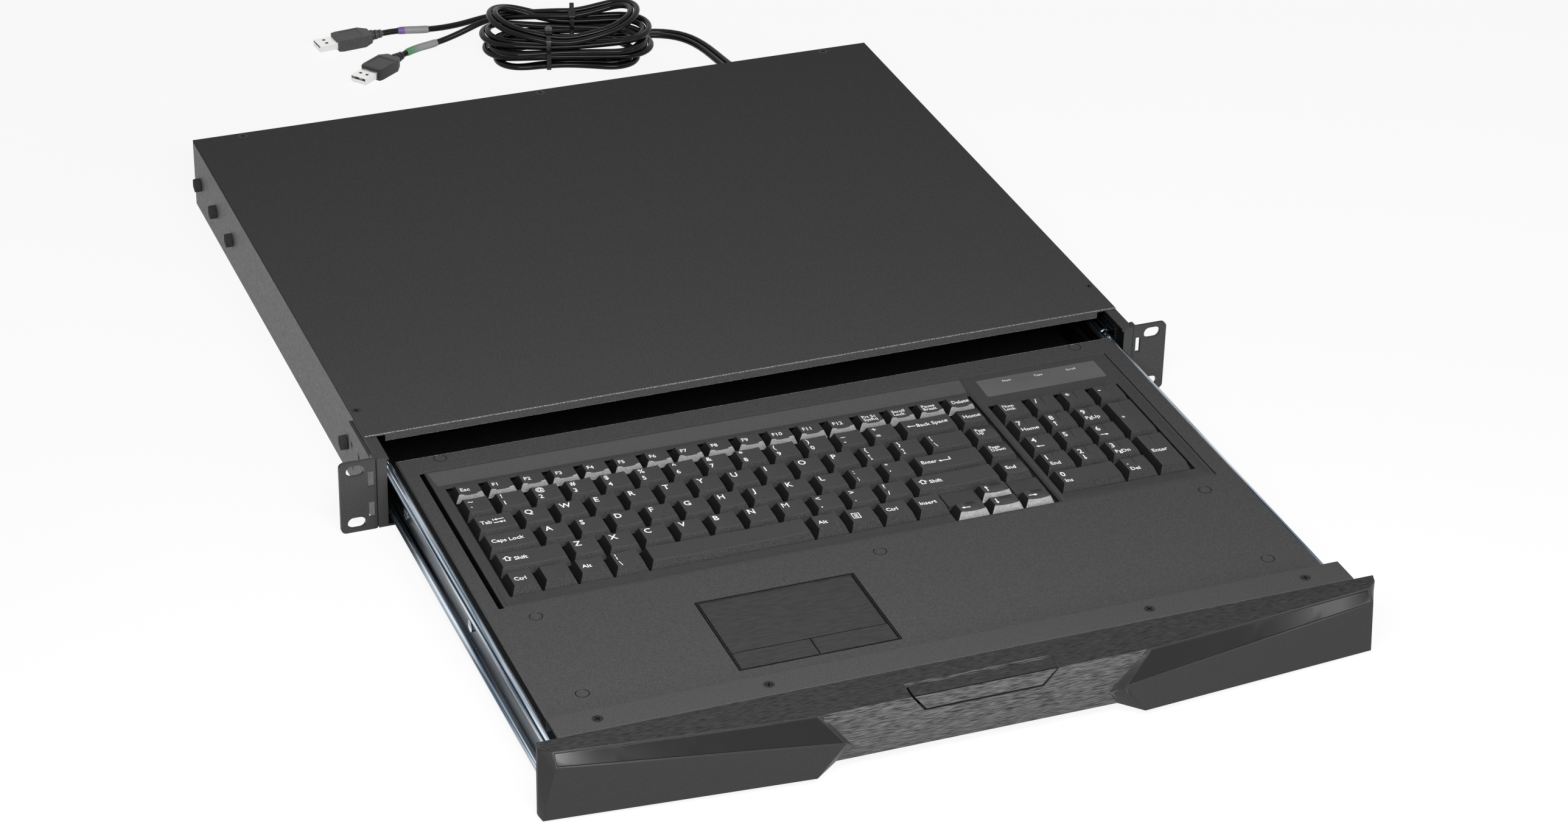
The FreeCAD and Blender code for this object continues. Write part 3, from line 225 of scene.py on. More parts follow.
bezel_matt = new_finish(
    "bezel_matt", 0.04, 0.42, 0.12, tone=(0.028, 0.038, 3000, (0.4, 1, 1)), bumps=(0.02, 0.2, 2600))
inlay_gloss = new_finish("inlay_gloss", 0.004, 0.3, 0.32, gloss=(0.26, 0.34, 30), bumps=(0.02, 0.1, 40))
keyboard_plastic = new_finish(
    "keyboard_plastic", 0.05, 0.5, 0.05, tone=(0.036, 0.05, 1600), bumps=(0.03, 0.3, 1500))
# The well's slope is the keyboard plastic painted lighter, as painted light where the slope faces the lamps.
well_slope_painted_light = new_finish("well_slope_painted_light", 0.075, 0.5, 0.05, tone=(0.066, 0.084, 1600), bumps=(0.03, 0.3, 1500))
key_top = new_finish("key_top", 0.05, 0.46, 0.06, tone=(0.037, 0.049, 2200), bumps=(0.03, 0.25, 1800))
key_side = new_finish(
    "key_side", 0.03, 0.5, 0.08, tone=(0.014, 0.046, 2600, EVEN, 2), bumps=(0.1, 0.5, 2000, EVEN, 2))
# Painted shade: the keys' flanks in the narrow gaps are near black.
key_flank_painted_shade = new_finish("key_flank_painted_shade", 0.01, 0.5, 0.05, tone=(0.007, 0.013, 2000))
# Painted highlight: the steep fronts of the function and arrow keys are painted light grey.
key_skirt_painted_highlight = new_finish(
    "key_skirt_painted_highlight", 0.2, 0.35, 0.3, tone=(0.16, 0.34, 2600, EVEN, 2), bumps=(0.06, 0.4, 2200, EVEN, 2))
legend_white = new_finish("legend_white", 0.85, 0.6, 0.2, tone=(0.8, 0.9, 3000))
touch_plastic = new_finish(
    "touch_plastic", 0.042, 0.45, 0.05, tone=(0.029, 0.04, 900, (0.15, 1, 1)), bumps=(0.02, 0.25, 1700))
led_panel = new_finish("led_panel", 0.09, 0.4, 0.1, tone=(0.08, 0.1, 25, (1, 2, 1)))
print("plastic and steel finishes:", len(bpy.data.materials))

# %% [markdown]
# The slides are rolled from bright zinc-plated strip, with streaks along the way the strip was drawn; the
# streaks are partly the strip's own and partly painted bright and dark reflection lines with a blue tint.
# Balls are polished, screws are blackened. Cords are soft shiny vinyl, plugs a duller moulding round a thin
# metal shell, and the marker sleeves are grey shrink tube with a coloured end.

# %% Finishes of metal, cords and electronics
# The zinc's streaks are partly drawn marks and partly painted bright and dark reflection lines.
zinc = new_finish(
    "zinc_strip_and_painted_reflections", (0.62, 0.63, 0.65), 0.28, metallic=1,
    tone=((0.08, 0.12, 0.17), (0.74, 0.82, 0.9), 700, (1, 0.012, 1), 4), ramp=(0.4, 0.6),
    gloss=(0.16, 0.36, 500, (1, 0.02, 1)), bumps=(0.03, 0.3, 900, (1, 0.01, 1)))
polished_steel = new_finish("polished_steel", (0.72, 0.72, 0.73), 0.12, metallic=1, gloss=(0.08, 0.18, 900))
# The web's zinc is painted dark, as a painted reflection of dark surroundings.
zinc_web_painted_reflection = new_finish(
    "zinc_web_painted_reflection", (0.2, 0.2, 0.21), 0.3, metallic=1,
    tone=((0.015, 0.016, 0.018), (0.14, 0.145, 0.155), 500, (1, 0.012, 1), 4),
    gloss=(0.2, 0.4, 500, (1, 0.02, 1)))
screw_black = new_finish("screw_black", 0.008, 0.36, 0.15, gloss=(0.28, 0.5, 1500))
cord_vinyl = new_finish("cord_vinyl", 0.003, 0.2, 0.18, gloss=(0.14, 0.26, 60), bumps=(0.08, 0.25, 250))
tie_nylon = new_finish("tie_nylon", 0.005, 0.2, 0.35, gloss=(0.16, 0.3, 300))
plug_grey = new_finish("plug_grey", 0.07, 0.5, 0.3, tone=(0.06, 0.085, 900), bumps=(0.08, 0.4, 1100))
plug_dark = new_finish("plug_dark", 0.02, 0.42, 0.35, tone=(0.015, 0.028, 900), bumps=(0.08, 0.4, 1100))
plug_steel = new_finish("plug_steel", (0.8, 0.8, 0.79), 0.3, metallic=1, gloss=(0.22, 0.38, 300, (1, 0.2, 1)))
gland_rubber = new_finish("gland_rubber", 0.015, 0.6, 0.3, tone=(0.011, 0.022, 500))
membrane_rubber = new_finish("membrane_rubber", (0.3, 0.3, 0.31), 0.7, tone=(0.26, 0.34, 200))
board_black = new_finish(
    "board_black", (0.008, 0.01, 0.009), 0.4, 0.1, tone=((0.005, 0.007, 0.006), (0.011, 0.014, 0.012), 250))
print("all finishes:", len(bpy.data.materials))

# %% [markdown]
# A marker sleeve is grey with one coloured end. The colour is a ramp along the sleeve in object
# coordinates, moved by a Mapping node so that zero lies at the plug's end of the sleeve and one at the
# other end.

# %% Finish of a marker sleeve
sleeve_colour = (0.36, 0.36, 0.37)


def sleeve_finish(name, start_x, end_x, colour, fade_start, fade_end):
    material = new_finish(name, sleeve_colour, 0.45, 0.4, bumps=(0.04, 0.3, 700))
    tree = material.node_tree
    along = 1 / (end_x - start_x)
    place = own_place(tree, (along, 0, 0), (-start_x * along, 0, 0))
    share = add(tree, "ShaderNodeSeparateXYZ", {"Vector": place})
    spread(tree, share, "Base Color", colour, sleeve_colour, fade_start, fade_end)
    return material


print("sleeve finish is ready")

# %% [markdown]
# The floor is a plain pale sheet, and the surroundings are white. Diffuse light comes from three soft
# boxes, one high and close in front, a weak one overhead and a broad one low at the front right, and from
# the even grey of the room. The floor and the room look white to the camera and in reflections, and the
# floor still takes the tray's soft shadow.

# %% Floor, room and lamps
floor_z = cad_box[0][2]
floor_half = 4
floor_white, floor_bounce, floor_glow = 0.94, 0.35, 0.9
room_fill = 0.13


def seen_directly(tree):
    """One for camera, glossy and transmission rays, else zero."""
    path = add(tree, "ShaderNodeLightPath", {}).node.outputs
    total = path["Is Camera Ray"]
    for name in ("Is Glossy Ray", "Is Transmission Ray"):
        total = add(tree, "ShaderNodeMath", {0: total, 1: path[name]}, operation="MAXIMUM")
    return total


def two_greys(tree, seen, thrown_grey, seen_grey):
    """A grey for rays that see the surface directly, and another for the light that it throws."""
    inputs = {"A": opaque(thrown_grey), "B": opaque(seen_grey), "Factor": seen}
    return add(tree, "ShaderNodeMix", inputs, data_type="RGBA").node.outputs["Result"]


def make_floor():
    mesh = bpy.data.meshes.new("floor")
    corners = [(x * floor_half, y * floor_half, floor_z) for x, y in ((-1, -1), (1, -1), (1, 1), (-1, 1))]
    mesh.from_pydata(corners, [], [(0, 1, 2, 3)])
    paper = new_finish("floor_paper", floor_white, 0.9, 0)
    tree = paper.node_tree
    shader = tree.nodes["Principled BSDF"]
    seen = seen_directly(tree)
    tree.links.new(two_greys(tree, seen, floor_bounce, floor_white), shader.inputs["Base Color"])
    share = add(tree, "ShaderNodeMath", {0: seen, 1: floor_glow}, operation="MULTIPLY")
    glow = add(tree, "ShaderNodeEmission", {"Strength": 1})
    mix = add(tree, "ShaderNodeMixShader", {"Fac": share, 1: shader.outputs["BSDF"], 2: glow})
    tree.links.new(mix, tree.nodes["Material Output"].inputs["Surface"])
    mesh.materials.append(paper)
    placed("floor", mesh)


def make_room():
    scene.world = bpy.data.worlds.new("room")
    scene.world.use_nodes = True
    tree = scene.world.node_tree
    grey = two_greys(tree, seen_directly(tree), room_fill, 1)
    tree.links.new(grey, tree.nodes["Background"].inputs["Color"])


def make_softbox(name, aim, direction, distance, size, power):
    lamp = bpy.data.lights.new(name, "AREA")
    lamp.shape = "RECTANGLE"
    lamp.size, lamp.size_y = size
    lamp.energy = power
    box = placed(name, lamp)
    along = Vector(direction).normalized()
    box.location = Vector(aim) + along * distance
    box.rotation_mode = "QUATERNION"
    box.rotation_quaternion = (-along).to_track_quat("-Z", "Y")
    box.visible_camera = False


make_floor()
make_room()
make_softbox("softbox_front", (0, -0.25, 0), (-0.25, -0.6, 0.76), 0.87, (0.75, 0.4), 13)
make_softbox("softbox_top", (0, 0.1, 0), (0.1, 0.35, 0.9), 2.4, (1.6, 1.2), 1.6)
make_softbox("softbox_low", (0, -0.3, 0), (0.55, -0.78, 0.31), 2.2, (2, 0.6), 23)
scene.view_settings.view_transform = "Standard"
print("floor at z = %.4f m" % floor_z)

# %% [markdown]
# Pieces are made as meshes in their place. These helpers turn a bmesh into an object that rides on a body,
# and make a rounded copy of a solid: doubles are merged, flat triangles are joined back into whole faces,
# and the long sharp edges get a small round, which catches the light as a real edge does. The shapes of the
# solids in the frame are never changed. The copy takes the place of its node and keeps its material slot.

# %% Helpers for pieces
def body_name(node):
    return body_of(nodes[node])[0]


def object_from(bm, name, finishes):
    mesh = bpy.data.meshes.new(name)
    bm.to_mesh(mesh)
    bm.free()
    for finish in finishes:
        mesh.materials.append(finish)
    return placed(name, mesh)


def mesh_from_curve(name, curve):
    """The curve or text as a mesh; the curve itself is removed."""
    holder = placed(name, curve)
    bpy.context.view_layer.update()
    mesh = bpy.data.meshes.new_from_object(holder)
    bpy.data.objects.remove(holder)
    bpy.data.curves.remove(curve)
    return mesh


def even_normals(piece):
    """Smooth shading, in which large flat faces keep their own normal beside small rounds."""
    mesh = piece.data
    mesh.polygons.foreach_set("use_smooth", [True] * len(mesh.polygons))
    mesh.set_sharp_from_angle(angle=radians(38))
    piece.modifiers.new("even_normals", "WEIGHTED_NORMAL").keep_sharp = True


def welded(node):
    bm = bmesh.new()
    bm.from_mesh(nodes[node].data)
    bmesh.ops.remove_doubles(bm, verts=bm.verts, dist=1e-6)
    return bm


def merged_copy(node):
    bm = welded(node)
    bmesh.ops.dissolve_limit(bm, angle_limit=radians(0.5), verts=bm.verts, edges=bm.edges)
    return bm


def round_edges(bm, width, shortest, degrees, edge_slot=-1, segments=2, chosen=None):
    """Rounds convex edges that are sharp and long enough, in millimetres; chosen may narrow them further."""
    sharp = []
    for edge in bm.edges:
        if not edge.is_manifold or not edge.is_convex or edge.calc_length() < shortest * MM:
            continue
        if edge.calc_face_angle() > radians(degrees) and (chosen is None or chosen(edge)):
            sharp.append(edge)
    bmesh.ops.bevel(bm, geom=sharp, offset=width * MM, offset_type="OFFSET", segments=segments, profile=0.5,
                    affect="EDGES", clamp_overlap=True, material=edge_slot)
    return len(sharp)


def stand_in(piece, node):
    """The piece takes the node's place on the node's body."""
    even_normals(piece)
    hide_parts(node)
    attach(piece, body_name(node))


def rounded(node, finishes, width, shortest=3, degrees=30, edge_slot=-1, paint=None, shape=None):
    bm = merged_copy(node)
    if shape:
        shape(bm)
    count = round_edges(bm, width, shortest, degrees, edge_slot)
    if paint:
        for face in bm.faces:
            if face.material_index != edge_slot or edge_slot < 0:
                face.material_index = paint(face)
    piece = object_from(bm, node + "_finished", finishes)
    stand_in(piece, node)
    print(node, "rounded edges:", count, "faces:", len(piece.data.polygons))
    return piece


def repaint(node, finish):
    """A solid whose shape is right only gets its finish."""
    for slot in nodes[node].material_slots:
        slot.material = finish


print("slots in the record:", sorted({m.name for n in nodes.values() for m in n.data.materials}))

# %% [markdown]
# The two cords leave the bush in the rear wall side by side, drop to the floor, run into a hank that two
# ties hold, and leave it on the far side to end in their plugs. Each cord is one open NURBS curve: the
# points of its lead, then the turns of the hank, worked out by a loop, then the points of its tail. The
# ties draw the turns together at the front and at the rear. At both ends nothing holds them, so there each
# turn has a length and a place of its own, and the turns cross as they fan out.

# %% Cord routes
cord_radius = 2 * MM
lead_keyboard = [
    (160.3, 418, -4), (160.3, 431, -4), (159.6, 464, -17.2), (158, 484, -19.1),
    (152.5, 519, -18), (142, 537, -17), (122, 547, -17), (103, 545, -17.5),
]
lead_mouse = [
    (155.7, 418, -4), (155.7, 431, -4), (154.8, 463, -17.2), (153.2, 482.5, -19.1),
    (148.3, 515.5, -18), (138.3, 532, -17), (119.5, 541.6, -17), (101, 539, -17.5),
]
tail_keyboard = [
    (29, 571.5, -1.5), (17, 579, -6), (3, 588, -13), (-13.8, 597, -17.7),
    (-34.56, 602.07, -17.3), (-45.47, 600.69, -17.3),
]
tail_mouse = [
    (26.5, 566.8, -1.5), (15.5, 573, -6), (1, 575.2, -13), (-15, 575.2, -17.7),
    (-33.91, 569.62, -17.3), (-42.77, 563.09, -17.3),
]
print("points in the leads and tails:", len(lead_keyboard), len(tail_keyboard))

# %% [markdown]
# In the hank's own frame a turn is two long runs across the picture, joined by half circles, so that no
# bend is tighter than a cord allows. Four short lists give each turn its length to the left and right and
# its sideways place there, two more say how far it passes from the middle at the front and at the rear, and
# one lifts its ends. Freedom is nought at the ties and one at the ends. The two strands run beside each
# other and twist a bit.

# %% Turns of the hank
hank_centre = (60.6, 534)
hank_slant = radians(-17)
hank_first_angle, hank_last_angle = radians(105), radians(110)
hank_turns = 5
points_per_turn = 28
hank_low_z, hank_climb, lowest_z = -19, 4.1, -19.2
strand_offset = 2.15
twist_size, twist_rate, twist_start = 0.5, 5.2, 0.8
left_length, right_length = (44, 51, 47, 53, 48, 48), (46, 55, 51, 54, 46, 46)
left_place, right_place = (-8, -2, -5, 3, 8, 8), (-8, -2, -5, 2, 7, 7)
front_width, rear_width = (19, 17.5, 20, 18, 19.5, 19.5), (18, 20, 17.5, 19.5, 18.5, 18.5)
end_lift = (0, 0.5, 1, 2, 9, 9)
# The share of a turn at which the cord first passes each end and each side.
at_left_end, at_right_end, at_front, at_rear = 0.21, 0.71, 0.46, 0.96
# Freedom grows slowly near the ties. The second value makes it about one at the ends.
tie_hold, freedom_scale = 0.3, 0.744


def hank_middle(turn):
    """Point of the middle line after so many turns, in the hank's own frame."""
    angle = hank_first_angle + 2 * pi * turn
    along, across = cos(angle), sin(angle)
    at_left = along < 0
    which_end = max(0, round(turn - (at_left_end if at_left else at_right_end)))
    which_side = max(0, round(turn - (at_rear if across > 0 else at_front)))
    length = (left_length if at_left else right_length)[which_end]
    place = (left_place if at_left else right_place)[which_end]
    width = (rear_width if across > 0 else front_width)[which_side]
    freedom = (hypot(along, tie_hold) - tie_hold) / freedom_scale
    past_straight = min(1, max(0, (length * abs(along) - (length - width)) / width))
    return Vector((
        length * along,
        copysign(width * sqrt(1 - past_straight ** 2), across) + place * freedom,
        hank_low_z + hank_climb * turn + end_lift[which_end] * freedom,
    ))


def turned(x, y, angle, centre=(0, 0)):
    """A place in the plane, turned about nought and then moved to the centre."""
    return centre[0] + x * cos(angle) - y * sin(angle), centre[1] + x * sin(angle) + y * cos(angle)


def hank_points(side):
    """Turns of one cord in millimetres; side 1 is the outer of the two strands, side -1 the inner."""
    total = hank_turns + (hank_last_angle - hank_first_angle) / (2 * pi)
    steps = round(points_per_turn * total)
    points = []
    for i in range(1, steps):
        turn = total * i / steps
        ahead = hank_middle(turn + 0.01) - hank_middle(max(0, turn - 0.01))
        outward = Vector((ahead.y, -ahead.x, 0)).normalized()
        twist = twist_size * sin(twist_rate * turn + twist_start)
        place = hank_middle(turn) + side * strand_offset * (
            cos(twist) * outward + sin(twist) * Vector((0, 0, 1)))
        points.append((*turned(place.x, place.y, hank_slant, hank_centre), max(place.z, lowest_z)))
    return points


print("points in one hank:", len(hank_points(1)))

# %% [markdown]
# The order of the spline is set after its points, because a spline with no points yet can't take it. A
# bevel gives the curve its round section.

# %% Cords
def make_cord(name, lead, side, tail, replaced):
    route = lead + hank_points(side) + tail
    curve = bpy.data.curves.new(name, "CURVE")
    curve.dimensions = "3D"
    curve.bevel_depth = cord_radius
    curve.bevel_resolution = 5
    curve.use_fill_caps = True
    spline = curve.splines.new("NURBS")
    spline.points.add(len(route) - 1)
    for point, place in zip(spline.points, route):
        point.co = (*[value * MM for value in place], 1)
    spline.order_u = 3
    spline.use_endpoint_u = True
    spline.resolution_u = 4
    curve.materials.append(cord_vinyl)
    cord = placed(name, curve)
    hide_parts(*replaced)
    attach(cord, "chassis")
    print(name, "measures %.3f m" % spline.calc_length())
    return cord


keyboard_cord = make_cord("keyboard_cord", lead_keyboard, 1, tail_keyboard,
                          ["cord_lead_keyboard", "cord_tail_keyboard", "cord_coil"])
mouse_cord = make_cord("mouse_cord", lead_mouse, -1, tail_mouse,
                       ["cord_lead_mouse", "cord_tail_mouse"])

# %% [markdown]
# A marker sleeve is a short tube on each cord's tail. It has to follow the cord, not the straight line
# between two points, so its centreline is read from the cord's own curve, with the bevel taken off a copy.
# Rings of vertices are set square to that line, and the end rings are drawn in a little, as shrink tube
# does.

# %% Tube along a cord
def islands(node):
    """Boxes of the separate solids in a node, as lowest and highest corners."""
    bm = welded(node)
    left = set(bm.verts)
    boxes = []
    while left:
        group = [left.pop()]
        for vertex in group:
            for edge in vertex.link_edges:
                other = edge.other_vert(vertex)
                if other in left:
                    left.remove(other)
                    group.append(other)
        places = [vertex.co for vertex in group]
        low = Vector([min(place[i] for place in places) for i in range(3)])
        high = Vector([max(place[i] for place in places) for i in range(3)])
        boxes.append((low, high))
    bm.free()
    return sorted(boxes, key=lambda box: (round(box[0].y, 5), round(box[0].x, 5), round(box[0].z, 5)))


def centreline(cord):
    bare = cord.data.copy()
    bare.bevel_depth = 0
    bare.splines[0].resolution_u = 16
    mesh = mesh_from_curve("centreline", bare)
    points = [vertex.co.copy() for vertex in mesh.vertices]
    bpy.data.meshes.remove(mesh)
    return points


def tube(bm, points, radii, sides=20):
    """A closed tube through the points, square to the line at each of them."""
    rings = []
    side_way = None
    for i, point in enumerate(points):
        ahead = points[min(i + 1, len(points) - 1)] - points[max(i - 1, 0)]
        ahead.normalize()
        side_way = ahead.orthogonal() if side_way is None else side_way - ahead * side_way.dot(ahead)
        side_way.normalize()
        up_way = ahead.cross(side_way)
        angles = [2 * pi * k / sides for k in range(sides)]
        rings.append([bm.verts.new(point + radii[i] * (cos(angle) * side_way + sin(angle) * up_way))
                      for angle in angles])
    for first, second in zip(rings, rings[1:]):
        for k in range(sides):
            bm.faces.new((first[k], first[(k + 1) % sides], second[(k + 1) % sides], second[k]))
    bm.faces.new(list(reversed(rings[0])))
    bm.faces.new(rings[-1])


print("sleeve solids:", len(islands("marker_sleeves")))

# %% [markdown]
# The keyboard's sleeve is violet at its plug end, the mouse's is green there, and both turn grey.

# %% Marker sleeves
sleeve_wall = 0.5 * MM
past_box, beside_box = 2 * MM, 8 * MM
end_shares = (0.86, 0.96)


def make_sleeve(name, cord, box, nearer, finish):
    low_x, high_x = box[0].x - nearer, box[1].x + past_box
    line = [p for p in centreline(cord) if low_x <= p.x <= high_x and p.y > box[0].y - beside_box]
    count = len(line)
    radii = [cord_radius + sleeve_wall] * count
    for i, share in enumerate(end_shares):
        radii[i] *= share
        radii[count - 1 - i] *= share
    bm = bmesh.new()
    tube(bm, line, radii)
    sleeve = object_from(bm, name, [finish])
    even_normals(sleeve)
    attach(sleeve, "chassis")
    return sleeve


mouse_box, keyboard_box = islands("marker_sleeves")
violet, green = (0.22, 0.12, 0.42), (0.1, 0.34, 0.14)
keyboard_sleeve = make_sleeve(
    "keyboard_sleeve", keyboard_cord, keyboard_box, 3 * MM,
    sleeve_finish("sleeve_violet", keyboard_box[0].x, keyboard_box[1].x, violet, 0.1, 0.16))
make_sleeve(
    "mouse_sleeve", mouse_cord, mouse_box, 8 * MM,
    sleeve_finish("sleeve_green", mouse_box[0].x - 8 * MM, mouse_box[1].x, green, 0.15, 0.5))
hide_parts("marker_sleeves")
print("sleeves from x %.4f to %.4f m" % (keyboard_box[0].x, keyboard_box[1].x))

# %% [markdown]
# The plugs keep the shape of their solids: a waisted moulded body with three rings of strain relief, and an
# open metal shell with a contact tongue and two square windows. Their edges are rounded, and the broad face
# of each body gets the shallow panel that such mouldings have, by insetting that face and pressing it in.

# %% Plugs and gland
panel_margin, panel_step, panel_depth = 2.2 * MM, 0.25 * MM, 0.3 * MM


def press_panel(bm):
    """Insets the largest face that looks up and lowers its middle."""
    broad = max((face for face in bm.faces if face.normal.z > 0.99), key=lambda face: face.calc_area())
    bmesh.ops.inset_region(bm, faces=[broad], thickness=panel_margin, depth=0)
    bmesh.ops.inset_region(bm, faces=[broad], thickness=panel_step, depth=-panel_depth)


for plug, finish in (("keyboard", plug_grey), ("mouse", plug_dark)):
    rounded("plug_body_" + plug, [finish], 0.7, degrees=40, shape=press_panel)
    rounded("plug_shell_" + plug, [plug_steel], 0.12, shortest=2, degrees=40)
repaint("cable_gland", gland_rubber)

# %% [markdown]
# A cable tie is a flat strap drawn tight. Its loop is worked out from the strands it holds: circles round
# their places near the tie give points, and the convex hull of those points is the shortest line round them
# all, which is the line a tight strap takes. A small head with the strap's cut end sits on it, at the top
# of the first tie and leaning forward on the second.

# %% Cable ties
tie_places = ((-11, -1, 0), (5, 1, 50))
strap_width, strap_thick = 3 * MM, 0.9 * MM
strap_lowest = floor_z + 0.1 * MM
strands_near, strands_beyond = 2.5 * MM, 8 * MM
head_size, head_lift, head_round = (5 * MM, 5.5 * MM, 3.4 * MM), 1.6 * MM, 0.7 * MM
cut_size, cut_lift, cut_onward, cut_round = (3 * MM, 6 * MM, 1 * MM), 1.4 * MM, 5 * MM, 0.3 * MM


def in_hank(point):
    """A place of the frame in the hank's own directions, along and across, in metres."""
    x, y = point.x - hank_centre[0] * MM, point.y - hank_centre[1] * MM
    return Vector((*turned(x, y, -hank_slant), point.z))


def from_hank(along, across, z):
    centre = [value * MM for value in hank_centre]
    return Vector((*turned(along, across, hank_slant, centre), z))


def strap_line(held):
    """Line round the held strands, as pairs of across and height."""
    angles = [2 * pi * k / 16 for k in range(16)]
    rim = [(p.y + cord_radius * cos(a), p.z + cord_radius * sin(a)) for p in held for a in angles]
    return [Vector(rim[i]) for i in convex_hull_2d(rim)]


def add_strap(bm, along, line):
    rings = []
    for i, place in enumerate(line):
        way = (line[(i + 1) % len(line)] - line[i - 1]).normalized()
        outer = place + strap_thick * Vector((way.y, -way.x))
        corners = ((-0.5, place), (0.5, place), (0.5, outer), (-0.5, outer))
        rings.append([bm.verts.new(from_hank(along + side * strap_width, across, max(z, strap_lowest)))
                      for side, (across, z) in corners])
    for first, second in zip(rings, rings[1:] + rings[:1]):
        for k in range(4):
            bm.faces.new((first[k], second[k], second[(k + 1) % 4], first[(k + 1) % 4]))


def rounded_block(bm, centre, size, tilt, round_off):
    """A block with round edges, turned by the hank's slant and tilted about its length."""
    rotation = Matrix.Rotation(hank_slant, 4, "Z") @ Matrix.Rotation(tilt, 4, "X")
    matrix = Matrix.Translation(centre) @ rotation @ Matrix.Diagonal((*size, 1))
    corners = bmesh.ops.create_cube(bm, size=1, matrix=matrix)["verts"]
    edges = list({edge for corner in corners for edge in corner.link_edges})
    bmesh.ops.bevel(bm, geom=edges, offset=round_off, segments=3, profile=0.5, affect="EDGES")


strands = [in_hank(point) for cord in (keyboard_cord, mouse_cord) for point in centreline(cord)]
bm = bmesh.new()
for tie_along, side, lean in tie_places:
    along, tilt = tie_along * MM, radians(lean)
    held = [p for p in strands if abs(p.x - along) < strands_near and p.y * side > strands_beyond]
    line = strap_line(held)
    add_strap(bm, along, line)
    outward, onward = Vector((-sin(tilt), cos(tilt))), Vector((cos(tilt), sin(tilt)))
    top = max(line, key=outward.dot)
    rounded_block(bm, from_hank(along, *(top + head_lift * outward)), head_size, tilt, head_round)
    cut_end = top + cut_lift * outward + cut_onward * onward
    rounded_block(bm, from_hank(along, *cut_end), cut_size, tilt, cut_round)
    print("tie holds", len(held), "places of strands, and its loop has", len(line), "points")
bmesh.ops.recalc_face_normals(bm, faces=bm.faces)
ties = object_from(bm, "cable_ties_finished", [tie_nylon])
stand_in(ties, "cable_ties")

# %% [markdown]
# The length of each cord's centreline is worked out and printed.

bpy.context.view_layer.update()
for cord, lead, name in ((keyboard_cord, lead_keyboard, "keyboard"), (mouse_cord, lead_mouse, "mouse")):
    line = centreline(cord)
    length = sum((b - a).length for a, b in zip(line, line[1:]))
    [value * MM for value in lead[0]]
    print(cord.name, "length %.3f m" % length)

# %% [markdown]
# Chassis, cover, ears, pan and panel are one folded sheet each. A fold or a cut edge is never knife sharp,
# so each copy gets a round of about 0.4 mm. The front edge of the cover and the rear edge of the panel rub
# on each other's way, and there the round is painted with the rubbed finish.

# %% Sheet steel
chassis_middle_y = 0.2
cover_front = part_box("top_cover")[0].y
panel_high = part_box("tray_panel")[1]


def rubbed_where(test):
    """Slot 1, the rubbed edge, on narrow round faces that pass the test."""
    def paint(face):
        flat = max(abs(value) for value in face.normal) > 0.995
        return 1 if not flat and test(face.calc_center_median()) else 0
    return paint


def chassis_paint(face):
    """Slot 1, painted shade, where the sheet looks into the chassis, slot 2 on its outer sides, else slot 0.
    """
    place, normal = face.calc_center_median(), face.normal
    to_middle = Vector((-place.x, chassis_middle_y - place.y, -place.z))
    if normal.dot(to_middle) > 0:
        return 1
    return 2 if abs(normal.x) > 0.9 else 0


def round_sides(bm):
    """The folds along both sides of the panel are rounder than the rest."""
    def at_side(edge):
        return all(abs(v.co.x) > panel_high.x - MM and v.co.z > panel_high.z - MM for v in edge.verts)
    round_edges(bm, 2.4, 50, 45, segments=5, chosen=at_side)


def panel_paint(face):
    """Upright faces lie in gaps and on the sides, where no light falls."""
    return 2 if abs(face.normal.z) < 0.4 and face.normal.y > -0.9 else panel_rubbed(face)


panel_rubbed = rubbed_where(lambda place: place.y > panel_high.y - 2 * MM)
rounded("chassis_base", [powder, painted_shade, powder_side], 0.35, shortest=6, paint=chassis_paint)
rounded("top_cover", [powder, rubbed_edge_and_highlight], 0.45, shortest=6,
        paint=rubbed_where(lambda place: place.y < cover_front + 2 * MM))
for node in ("rack_ear_left", "rack_ear_right"):
    rounded(node, [powder, powder_side], 0.35, shortest=4,
            paint=lambda face: 1 if abs(face.normal.x) > 0.9 else 0)
# The pan's upright sides get painted shade.
rounded("tray_pan", [powder, painted_shade], 0.35, shortest=6,
        paint=lambda face: 1 if abs(face.normal.x) > 0.7 else 0)
rounded("tray_panel", [powder, rubbed_edge_and_highlight, painted_shade], 0.4, shortest=6, shape=round_sides,
        paint=panel_paint)
rounded("front_bracket", [powder], 0.4, shortest=6)
# The narrow round at each stud's rim gets painted shade, a dark ring for the gap round the stud.
rounded("panel_studs", [powder, painted_shade], 0.35, shortest=0.1, degrees=50, edge_slot=1)

# %% [markdown]
# The slides keep the shape of their solids, which have the curled races. The races keep the bright streaked
# zinc, and the flat web between them is painted darker, as a painted dark reflection, so the copies are
# painted by the way each face looks.

# %% Slides, balls and inner parts
for node in ("slide_outer_left", "slide_outer_right", "slide_inner_left", "slide_inner_right"):
    rounded(node, [zinc, zinc_web_painted_reflection], 0.2, shortest=30, degrees=50,
            paint=lambda face: 1 if abs(face.normal.x) > 0.98 else 0)
for node in ("ball_cage_left", "ball_cage_right", "lever_spring", "slide_screws"):
    repaint(node, zinc)
for node in ("bearing_balls_left", "bearing_balls_right", "lever_pin"):
    repaint(node, polished_steel)
rounded("slide_bolts", [powder], 0.4, shortest=1, degrees=40)
repaint("key_membrane", membrane_rubber)
repaint("touchpad_board", board_black)
repaint("keyboard_backplate", zinc)
repaint("key_guide_plate", keyboard_plastic)
print("slides and inner parts have their finish")

# %% [markdown]
# One Geometry Nodes tree makes a countersunk screw: a cone for the head, two crossed bars cut from it, and
# a shank. It sets a copy on every point it is given and turns the copy along the point's axis. The points
# are the tops of the solids in the frame. Three kinds of screw in this tray are made by it.

